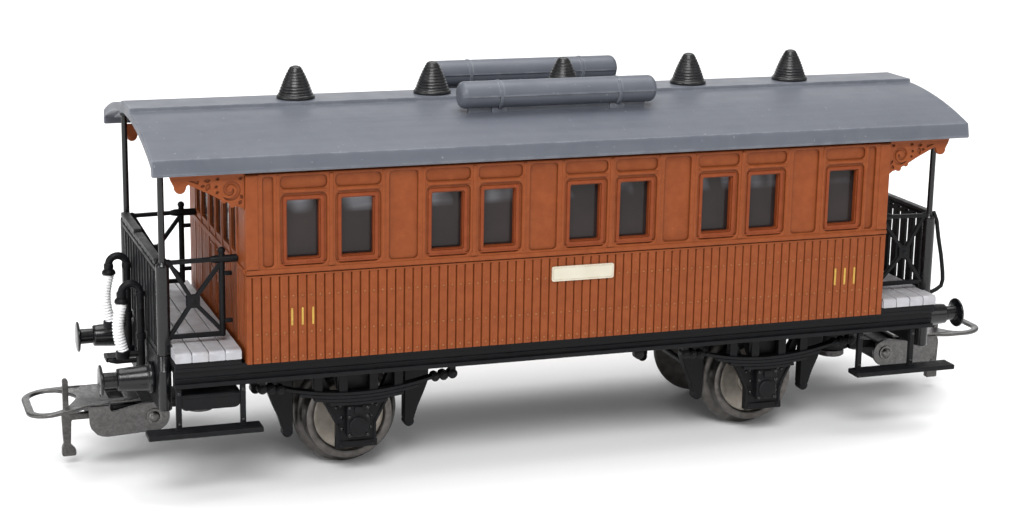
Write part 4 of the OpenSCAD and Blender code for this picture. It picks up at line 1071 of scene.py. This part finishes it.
def make_axleguard(end, side, name):
    """Axleguard with its axlebox, tie bar and bolts."""
    x0, z0 = -AXLE_X, AXLE_Z
    outline = [(-5.0, HANG_Z), (-4.4, 10.2), (-2.5, 6.6), (-2.5, 3.6), (2.5, 3.6), (2.5, 6.6), (4.4, 10.2),
               (5.0, HANG_Z)]
    loops = [[(x0 + a, b) for a, b in outline]]
    for m in (-1, 1):
        slot = [(-0.4, 10.4), (0.4, 10.4), (m * 0.9 + 0.6, 12.8), (m * 0.9 - 0.6, 12.8)]
        loops.append([(x0 + m * 2.5 + a, b) for a, b in slot])
    loops.append(arc(x0, z0, 0.56, 0, 350, 35))
    bm = bmesh.new()
    add_plate(bm, loops, -GUARD_Y1, -GUARD_Y0, bevel=0.09)
    # Raised edge along the guard's legs and the tie bar
    for m in (-1, 1):
        for p, q in (((m * 2.3, 4.0), (m * 2.3, 6.7)), ((m * 2.35, 6.7), (m * 4.2, 10.2))):
            add_prism(bm, bar((x0 + p[0], p[1]), (x0 + q[0], q[1]), 0.34), -GUARD_Y1 - 0.16, -GUARD_Y1 + 0.05,
                      "xz", 0.06, 40)
    add_box(bm, (x0 - 2.6, -GUARD_Y1 - 0.2, 3.62), (x0 + 2.6, -GUARD_Y1 + 0.05, 4.5), 0.1, 3)
    for a in (-2.0, 2.0):
        add_ball(bm, (x0 + a, -GUARD_Y1 - 0.2, 4.06), 0.24, 10)
    # Axlebox with its round cover and lid
    add_box(bm, (x0 - 1.4, -BOX_Y, z0 - 1.4), (x0 + 1.4, -GUARD_Y1 + 0.02, SPRING_Z - 0.06), 0.22, 4)
    cover = [(0, 1.2), (0.2, 1.2), (0.3, 1.1), (0.33, 0.7), (0.35, 0.4)]
    add_lathe(bm, cover, (x0, -BOX_Y, z0), (0, -1, 0), 32)
    add_box(bm, (x0 - 0.55, -BOX_Y - 0.28, z0 + 1.55), (x0 + 0.55, -BOX_Y + 0.05, z0 + 2.5), 0.12, 3)
    piece("axlebox_" + name, bm, satin_black, replaces=["axleguard_" + name], end=end,
          side=side)
    # Bolts of the box and of the guard beside it
    bm = bmesh.new()
    bolt = [(0, 0.24), (0.1, 0.24), (0.17, 0.16), (0.2, 0.05)]
    places = [(1.12, -1.12, BOX_Y), (1.12, 1.2, BOX_Y), (1.12, 2.3, BOX_Y), (1.8, -0.6, GUARD_Y1)]
    places += [(1.85, 0.9, GUARD_Y1), (2.5, 2.2, GUARD_Y1), (3.2, 3.4, GUARD_Y1), (1.95, 2.4, GUARD_Y1)]
    for a, b, y in places:
        for m in (-1, 1):
            add_lathe(bm, bolt, (x0 + m * a, -y + 0.02, z0 + b), (0, -1, 0), 6)
    piece("bolts_" + name, bm, gloss_black, end=end, side=side)


def make_spring(end, side, name):
    """Leaf spring, its shackles and the blocks over it."""
    x0 = -AXLE_X
    radius = 37.0
    leaf_t = 0.42
    bm = bmesh.new()
    for i, half in enumerate((3.6, 5.6, 7.6, 9.5)):
        inner = radius - (i + 1) * leaf_t + 0.02
        sweep = math.degrees(math.asin(half / radius))
        steps = 18
        low = arc(x0, SPRING_Z + radius, radius - i * leaf_t, 270 - sweep, 270 + sweep, steps)
        high = arc(x0, SPRING_Z + radius, inner, 270 + sweep, 270 - sweep, steps)
        add_prism(bm, low + high, SPRING_Y0, SPRING_Y1, "xz", 0.09, 40)
    eye_z = SPRING_Z + 4 * leaf_t + 0.95
    for m in (-1, 1):
        eye_x = x0 + m * 9.6
        for dx, dz, r, y in ((0, 0, 0.55, SPRING_Y0), (m * 1.1, 0.1, 0.6, SPRING_Y0 + 0.1),
                             (m * 2.2, 0.25, 0.6, SPRING_Y0)):
            long = SPRING_Y1 - y
            boss = [(0, r - 0.24), (0.04, r - 0.1), (0.14, r), (long - 0.05, r), (long, r - 0.05)]
            add_lathe(bm, boss, (eye_x + dx, y, eye_z + dz), (0, 1, 0), 24)
            nut = [(-0.16, 0.2), (-0.16, 0.34), (-0.1, 0.4), (0.1, 0.4)]
            add_lathe(bm, nut, (eye_x + dx, y, eye_z + dz), (0, 1, 0), 6)
        link = bar((eye_x, eye_z), (eye_x + m * 2.2, eye_z + 0.25), 0.6)
        add_prism(bm, link, SPRING_Y0 + 0.25, SPRING_Y1, "xz", 0.08, 40)
        hang = eye_x + m * 2.2
        add_box(bm, (hang - 0.38, SPRING_Y0 + 0.12, eye_z + 0.25), (hang + 0.38, -13.5, HANG_Z), 0.1, 3)
    for x in (-5.0, -1.9, 1.9, 5.0):
        add_box(bm, (x0 + x - 0.55, -14.4, SPRING_Z + 1.5), (x0 + x + 0.55, -13.4, HANG_Z), 0.1, 3)
    piece("spring_" + name, bm, satin_black, replaces=["leaf_spring_" + name], end=end,
          side=side)


BRAKE_Y0, BRAKE_Y1 = 8.4, 9.9
BRAKE_FOOT_Z, BRAKE_BEAM_Y = 5.05, 9.6


def make_brakes(end, name):
    """Hanger plates in the wheels' plane, each with a round foot, and the beams that join them."""
    bm = bmesh.new()
    x0 = -AXLE_X
    for m in (-1, 1):
        foot_x = x0 + m * 7.7
        for s in (NEAR, FAR):
            y = sorted((s * BRAKE_Y1, s * BRAKE_Y0))
            c = x0 + m * 7.6
            plate = [(2.7, HANG_Z), (-0.55, HANG_Z), (-0.55, 5.3), (0.7, 5.3), (0.85, 5.9), (1.2, 7),
                     (1.9, 8.6), (2.5, 10.2)]
            add_prism(bm, [(c + m * a, b) for a, b in plate], y[0], y[1], "xz", 0.16, 20, 3)
            boss = [(0, 0.4), (0.08, 0.57), (0.2, 0.65), (1.35, 0.65), (1.5, 0.55)]
            add_lathe(bm, boss, (foot_x, s * BRAKE_Y1, BRAKE_FOOT_Z), (0, -s, 0), 24)
        beam = [(foot_x, y, AXLE_Z + 1.6) for y in (-BRAKE_BEAM_Y, BRAKE_BEAM_Y)]
        add_tube(bm, beam, 0.4, 14)
    piece("brakes_" + name, bm, satin_black, replaces=["brake_gear_" + name], end=end)


WHEEL_Y = 7.2
WHEEL_W = 2.8
TREAD_R = 5.5


def make_wheel(end, side, name):
    """Turned wheel: flange, tread and rim, with a recessed disc and a raised hub."""
    body = "wheelset_" + END_NAME[end]
    top = [(0.02, 1.0), (0.0, 1.3), (0.0, 6.35), (0.08, 6.5), (0.22, 6.59), (0.4, 6.56), (0.62, 6.44),
           (0.85, 6.0)]
    top += [(1.0, 5.62), (1.18, TREAD_R), (WHEEL_W - 0.12, 5.46), (WHEEL_W - 0.02, 5.38), (WHEEL_W, 5.25)]
    top += [(WHEEL_W, 4.62), (WHEEL_W - 0.06, 4.52), (WHEEL_W - 0.4, 4.4)]
    bm = bmesh.new()
    back = top + [(WHEEL_W - 0.6, 4.38), (WHEEL_W - 0.6, 1.0)]
    add_lathe(bm, back, (-AXLE_X, -WHEEL_Y, AXLE_Z), (0, -1, 0), 128)
    piece("wheel_rim_" + name, bm, rim_metal, body, ["wheel_" + name], end, side, 40)
    bm = bmesh.new()
    face = WHEEL_W - 0.5
    disc = [(face - 0.25, 4.45), (face, 4.42), (face + 0.02, 4.2), (face - 0.04, 3.9), (face - 0.04, 2.3)]
    disc += [(face + 0.02, 2.05), (WHEEL_W - 0.1, 1.92), (WHEEL_W - 0.02, 1.8), (WHEEL_W - 0.02, 1.15)]
    disc += [(WHEEL_W - 0.1, 1.06), (face - 0.25, 1.04)]
    add_lathe(bm, disc, (-AXLE_X, -WHEEL_Y, AXLE_Z), (0, -1, 0), 128)
    piece("wheel_disc_" + name, bm, disc_metal, body, [], end, side, 40)


def make_axle(end, name):
    """Axle with a journal at both ends."""
    half = [(-13.15, 0.3), (-13.0, 0.5), (-10.95, 0.5), (-10.88, 0.9), (-10.78, 1.0)]
    half += [(-7.1, 1.0), (-7.0, 0.94)]
    profile = half + [(-along, radius) for along, radius in reversed(half)]
    bm = bmesh.new()
    add_lathe(bm, profile, (-AXLE_X, 0, AXLE_Z), (0, 1, 0), 48)
    piece("axle_turned_" + name, bm, bright_steel, "wheelset_" + name, ["axle_" + name], end)


for end, side, name in CORNERS:
    make_axleguard(end, side, name)
    make_spring(end, side, name)
    make_wheel(end, side, name)
for end, name in ENDS:
    make_brakes(end, name)
    make_axle(end, name)


# ---------- couplers ----------
RIVET_X, RIVET_Z = 50.3, 6.8
CHEEK_Y, CHEEK_T = 4.3, 0.4
PLATE_Z, PLATE_T = 8.9, 0.45
LOOP_TIP, LOOP_HW, LOOP_BAR, LOOP_R = 65.4, 5.4, 0.95, 2.9
BEND_X, SLOT_X0, CHEEK_R = 58.2, 55.6, 1.9
LOOP_DROP = {L: 0.7, R: -0.4}


def make_coupler(end, name):
    """Block with its swivel eye, cross rivet and hook."""
    body = "coupler_" + name
    block_y = CHEEK_Y - CHEEK_T - 0.15
    bm = bmesh.new()
    ring = round_rect(-55.6, 5.6, -48.6, 8.3, 0.9, 6)
    bore = arc(-RIVET_X, RIVET_Z, 0.61, 0, 350, 35)
    add_plate(bm, [ring, bore], -block_y, block_y, bevel=0.12)
    add_box(bm, (-49, -2.6, 7.2), (-PIVOT_X - 1.6, 2.6, 8.3), 0.12, 3)
    eye = [circle(-PIVOT_X, 0, 2.6), circle(-PIVOT_X, 0, 1.06)]
    add_plate(bm, eye, 7.2, 10.4, "xy", 0.12)
    piece("coupler_body_" + name, bm, satin_black, body, ["coupler_block_" + name], end)
    # Cross rivet with domed heads and a washer behind each
    bm = bmesh.new()
    add_lathe(bm, [(-4.25, 0.59), (4.25, 0.59)], (-RIVET_X, 0, RIVET_Z), (0, 1, 0), 28)
    for s in (NEAR, FAR):
        head = [(0.02, 0.96), (0.08, 1.0), (0.15, 0.96), (0.17, 0.84), (0.1, 0.74), (0.12, 0.66),
                (0.26, 0.58)]
        head += [(0.36, 0.42), (0.4, 0.22), (0.41, 0.06)]
        add_lathe(bm, head, (-RIVET_X, s * CHEEK_Y, RIVET_Z), (0, s, 0), 40)
    piece("rivet_" + name, bm, rivet_steel, body, ["coupler_rivet_" + name], end, sharp=50)
    # Upright hook with its arm and drop tail
    hx = -60.4
    outline = arc(hx, 10.8, 0.35, 0, 180, 10) + [(hx - 0.35, 7.2), (hx - 0.52, 6.7), (hx - 0.55, 6.4)]
    outline += [(hx - 0.5, 4.6), (hx - 0.4, 2.9), (hx - 0.62, 2.45), (hx - 0.62, 1.45), (hx - 0.5, 1.32)]
    outline += [(hx + 0.95, 1.32), (hx + 1.1, 1.5), (hx + 1.05, 2.15), (hx + 0.45, 2.8), (hx + 0.55, 4.6)]
    outline += [(hx + 0.62, 5.8), (hx + 0.75, 5.9), (-55.61, 5.9), (-55.61, 6.7), (hx + 0.6, 6.72)]
    outline += [(hx + 0.42, 6.85), (hx + 0.35, 7.2)]
    bm = bmesh.new()
    add_prism(bm, outline, -0.4, 0.4, "xz", 0.1, 25, 3)
    piece("hook_" + name, bm, dark_steel, body, ["coupler_hook_" + name], end)


def make_loop(end, name):
    """Loop, plate and cheeks bent from one sheet. The loop leaves the plate at a small angle."""
    drop = LOOP_DROP[end]
    bm = bmesh.new()
    outer = arc(-LOOP_TIP + LOOP_R, LOOP_HW - LOOP_R, LOOP_R, 84, 180, 16)
    outer += arc(-LOOP_TIP + LOOP_R, -LOOP_HW + LOOP_R, LOOP_R, 180, 276, 16)
    outer += [(-59.6, -4.95), (-BEND_X, -CHEEK_Y), (-56.9, -CHEEK_Y), (-SLOT_X0, -CHEEK_Y), (-SLOT_X0, -3.4)]
    outer += [(-51.8, -3.4), (-51.8, 3.4)]
    outer += [(-SLOT_X0, 3.4), (-SLOT_X0, CHEEK_Y), (-56.9, CHEEK_Y), (-BEND_X, CHEEK_Y), (-59.6, 4.95)]
    tip, half, corner = LOOP_TIP - LOOP_BAR, LOOP_HW - LOOP_BAR, LOOP_R - LOOP_BAR
    inner = arc(-tip + corner, half - corner, corner, 80, 180, 12)
    inner += arc(-tip + corner, -half + corner, corner, 180, 280, 12)
    inner += [(-61.2, -4.0), (-60.6, -3.35), (-60.0, -2.2), (-59.5, -1.2), (-59.2, -0.5)]
    inner += [(-59.2, 0.5), (-59.5, 1.2), (-60.0, 2.2), (-60.6, 3.35), (-61.2, 4.0)]
    notch = round_rect(-55.4, -2.2, -53.6, 2.2, 0.25, 4)
    add_plate(bm, [outer, inner, notch], PLATE_Z - PLATE_T, PLATE_Z, "xy", 0.16, 3)
    for v in bm.verts:
        v.co.z -= drop * max(0, -v.co.x - BEND_X) / (LOOP_TIP - BEND_X)
    # Cheeks bent down on each side: free of the plate behind the slot
    for s in (NEAR, FAR):
        cheek = [(-58.2, PLATE_Z - 0.04), (-58.1, 6.4), (-57.9, 5.8), (-57.2, 5.0), (-56.6, 4.75),
                 (-55.9, 4.65)]
        cheek += arc(-RIVET_X, RIVET_Z, CHEEK_R, 262, 450, 20)
        cheek += [(-51.6, RIVET_Z + CHEEK_R - 0.12), (-53.5, 8.25), (-55.0, 7.9), (-55.45, 7.95),
                  (-SLOT_X0, 8.2)]
        cheek.append((-SLOT_X0, PLATE_Z - 0.04))
        hole = arc(-RIVET_X, RIVET_Z, 0.66, 0, 350, 35)
        y = sorted((s * CHEEK_Y, s * (CHEEK_Y - CHEEK_T)))
        add_plate(bm, [cheek, hole], y[0], y[1], "xz", 0.11, 3)
        # Rounded bend along the joined part of the top edge
        edge = s * (CHEEK_Y - 0.21)
        add_tube(bm, [(-58.15, edge, PLATE_Z - 0.22), (-SLOT_X0 - 0.05, edge, PLATE_Z - 0.22)], 0.21, 16)
    piece("loop_" + name, bm, cheek_steel, "loop_" + name, ["coupler_loop_" + name], end)


def make_screws():
    bm = bmesh.new()
    for e in (L, R):
        x = PIVOT_X * e
        head = [(0, 0.3), (0, 1.75), (0.12, 1.9), (0.8, 1.9), (0.88, 1.82)]
        add_lathe(bm, head, (x, 0, 6.0), (0, 0, 1), 40)
        add_box(bm, (x - 1.6, -0.2, 5.985), (x + 1.6, 0.2, 6.1), 0.03)
    piece("screws", bm, dark_steel, replaces=["pivot_screws"])


cheek_steel = metal("cheek_steel", (0.125, 0.122, 0.12), 0.36, (0.085, 0.083, 0.081), wear_and_sheen=0.9, fleck_mm=0.3)
for end, name in ENDS:
    make_coupler(end, name)
    make_loop(end, name)
make_screws()


# ---------- steps, brake pipes and hoses ----------
HANGER_XS = {L: (41.85, 49.4), R: (39.3, 46.9)}
BOARD_XS = {L: (39.7, 53.2), R: (38.4, 52.8)}


def make_step(end, side, name):
    """Footstep: tread board and two hangers, with a box between them at the left end."""
    bm = bmesh.new()
    for x in HANGER_XS[end]:
        strap = [(-x - 0.32, 8.75), (-x + 0.32, 8.75), (-x + 0.32, 13.78), (-x - 0.32, 13.78)]
        add_plate(bm, [strap], -16.6, -15.95, bevel=0.1)
        add_box(bm, (-x - 0.45, -16.9, 8.75), (-x + 0.45, -15.9, 9.0), 0.08)
    if end == L:
        # Box between the hangers, with round lower corners
        tray = [(-49.2, 12.9), (-42.05, 12.9)]
        tray += arc(-42.85, 11.8, 0.8, 0, -90, 8) + arc(-48.4, 11.8, 0.8, -90, -180, 8)
        add_prism(bm, tray, -16.3, -13.6, "xz", 0.12, 40, 3)
        add_box(bm, (-49.2, -16.42, 12.45), (-42.05, -16.2, 12.8), 0.08, 3)
    # Tread board
    x0, x1 = BOARD_XS[end]
    add_box(bm, (-x1, -17.9, 8.15), (-x0, -15.3, 8.8), 0.14, 3)
    for i in range(5):
        y = -17.45 + i * 0.42
        add_box(bm, (-x1 + 0.3, y - 0.06, 8.7), (-x0 - 0.3, y + 0.06, 8.84), 0.04)
    piece("step_" + name, bm, satin_black, replaces=["footstep_" + name], end=end, side=side)
    # Bolts through the hangers
    bm = bmesh.new()
    bolt = [(0, 0.22), (0.1, 0.22), (0.16, 0.14), (0.18, 0.04)]
    for x in HANGER_XS[end]:
        for z in (9.5, 13.2):
            add_lathe(bm, bolt, (-x, -16.58, z), (0, -1, 0), 8)
    piece("step_bolts_" + name, bm, gloss_black, end=end, side=side)


PIPE_X, PIPE_Y, PIPE_Z0, NECK_R, NECK_DROP = 51.8, 5.0, 12.2, 1.1, 1.2
HOSE_X = PIPE_X + 2 * NECK_R


def make_pipe(side, name):
    """Upright pipe with a half-round neck, its couplings, and the corrugated hose between them."""
    z1 = 23.8 if side == FAR else 22.7
    z0 = 16.7 if side == FAR else 15.6
    y = -PIPE_Y
    bm = bmesh.new()
    line = [(-PIPE_X, y, PIPE_Z0), (-PIPE_X, y, z1 - 0.3)]
    line += [(-PIPE_X - NECK_R + NECK_R * math.cos(math.radians(a)), y,
              z1 + NECK_R * math.sin(math.radians(a)))
             for a in range(0, 181, 12)]
    line.append((-HOSE_X, y, z1 - 0.5))
    add_tube(bm, line, 0.46, 18)
    add_tube(bm, [(-PIPE_X, y, PIPE_Z0 + 0.7), (-BEAM_X - 0.02, y, PIPE_Z0 + 0.7)], 0.35, 12)
    collar = [(-0.5, 0.5), (-0.46, 0.58), (-0.2, 0.6), (0.1, 0.58), (0.2, 0.47)]
    for x in (-PIPE_X, -HOSE_X):
        add_lathe(bm, collar, (x, y, z1), (0, 0, 1), 24)
    for z in (PIPE_Z0 + 0.7, 17.3):
        add_lathe(bm, [(-0.4, 0.5), (-0.35, 0.6), (0.35, 0.6), (0.4, 0.5)], (-PIPE_X, y, z), (0, 0, 1), 20)
    # Upper coupling flares over the hose
    flare = [(z1 - NECK_DROP, 0.78), (z1 - NECK_DROP + 0.06, 0.85), (z1 - NECK_DROP + 0.35, 0.83)]
    flare += [(z1 - 0.62, 0.66), (z1 - 0.5, 0.5)]
    add_lathe(bm, flare, (-HOSE_X, y, 0), (0, 0, 1), 32)
    lower = [(z0 - 1.0, 0.6), (z0 - 0.95, 0.78), (z0 - 0.75, 0.85), (z0 - 0.1, 0.85), (z0, 0.78)]
    add_lathe(bm, lower, (-HOSE_X, y, 0), (0, 0, 1), 32)
    add_tube(bm, [(-HOSE_X, y, z0 - 0.5), (-PIPE_X, y, z0 - 0.5)], 0.35, 12)
    # Cock lever on the neck
    lever = [(-PIPE_X, y, z1 - 1.4), (-PIPE_X, y - 0.62, z1 - 1.35), (-PIPE_X, y - 0.7, z1 - 1.9)]
    add_tube(bm, lever, 0.17, 8)
    piece("pipe_" + name, bm, satin_black, replaces=["standpipe_" + name], side=side)
    # Hose
    low, high = z0 + 0.02, z1 - NECK_DROP - 0.02
    bow = 0.5
    ribs = round((high - low) / 0.36)
    steps = ribs * 8
    points, radii = [], []
    for i in range(steps + 1):
        t = i / steps
        points.append((-HOSE_X - bow * math.sin(math.pi * t), y, low + (high - low) * t))
        radii.append(0.655 + 0.06 * math.cos(2 * math.pi * t * ribs))
    bm = bmesh.new()
    add_tube(bm, points, radii, 32, rounded=0.05)
    piece("hose_skin_" + name, bm, white_hose, replaces=["hose_" + name], side=side, sharp=70)


for end, side, name in CORNERS:
    make_step(end, side, name)
for side in (NEAR, FAR):
    make_pipe(side, SIDE_NAME[side])


# ---------- CAD pieces that are shown as they are ----------
for node, material in (
    ("glazing_near", smoke),
    ("glazing_far", smoke),
    ("glazing_ends", smoke),
    ("ballast_plate", plain_steel),
):
    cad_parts[node].material_slots[0].material = material


# ---------- camera ----------
# Solved from the photograph: place, yaw, pitch and roll, with the lens in 36 mm film terms
CAMERA_AT = (-0.088491, -0.241027, 0.084782)
YAW, PITCH, ROLL = 0.335208, -0.237167, 0.016597
FOCAL_PX, CENTRE_X, CENTRE_Y = 2035.25, 500.53, 255.0
PHOTO_W, PHOTO_H = 1011, 525


def make_camera():
    ahead = Vector((math.sin(YAW) * math.cos(PITCH), math.cos(YAW) * math.cos(PITCH), math.sin(PITCH)))
    level = Vector((math.cos(YAW), -math.sin(YAW), 0))
    above = level.cross(ahead)
    right = level * math.cos(ROLL) + above * math.sin(ROLL)
    up = above * math.cos(ROLL) - level * math.sin(ROLL)
    data = bpy.data.cameras.new("camera")
    data.sensor_width = 36
    data.lens = FOCAL_PX / PHOTO_W * data.sensor_width
    data.shift_x = (PHOTO_W / 2 - CENTRE_X) / PHOTO_W
    data.shift_y = (CENTRE_Y - PHOTO_H / 2) / PHOTO_W
    data.clip_start = 0.01
    made = bpy.data.objects.new("camera", data)
    turn = Matrix((right, up, -ahead)).transposed().to_4x4()
    made.matrix_world = Matrix.Translation(CAMERA_AT) @ turn
    bpy.context.scene.collection.objects.link(made)
    bpy.context.scene.camera = made


# ---------- floor and light ----------
def pale_floor():
    made = Finish("floor_pale", (0.86, 0.86, 0.865), rough=0.75, specular=0.2)
    made.mottle((0.845, 0.845, 0.85), 60, 0.6)
    return made.finish()


def make_floor_plane():
    mesh = bpy.data.meshes.new("floor")
    half = 6.0
    corners = [(-half, -half, 0), (half, -half, 0), (half, half, 0), (-half, half, 0)]
    mesh.from_pydata(corners, [], [(0, 1, 2, 3)])
    mesh.materials.append(pale_floor())
    made = bpy.data.objects.new("floor_plane", mesh)
    bpy.context.scene.collection.objects.link(made)


def add_light(name, place, aim, size, watts, colour=(1, 1, 1)):
    data = bpy.data.lights.new(name, "AREA")
    data.shape = "RECTANGLE"
    data.size, data.size_y = size
    data.energy = watts
    data.color = colour
    made = bpy.data.objects.new(name, data)
    made.location = place
    made.rotation_euler = (Vector(aim) - Vector(place)).to_track_quat("-Z", "Y").to_euler()
    bpy.context.scene.collection.objects.link(made)


def make_lights():
    world = bpy.data.worlds.new("soft_sky")
    world.use_nodes = True
    background = world.node_tree.nodes["Background"]
    background.inputs["Color"].default_value = (1, 1, 1, 1)
    background.inputs["Strength"].default_value = 0.35
    bpy.context.scene.world = world
    middle = (0, 0, 0.025)
    add_light("key", (-0.35, -0.75, 0.8), middle, (0.6, 0.45), 10.5)
    add_light("top", (0.1, 0.15, 0.9), middle, (0.9, 0.7), 8.5)
    add_light("left_fill", (-0.9, -0.2, 0.35), middle, (0.5, 0.4), 3.0)
    add_light("right_fill", (0.8, -0.6, 0.4), middle, (0.5, 0.4), 1.0)
    add_light("back_card", (0.3, 0.95, 0.3), middle, (1.2, 0.4), 2.0)


bpy.context.scene.view_settings.view_transform = "Standard"
make_camera()
make_floor_plane()
make_lights()
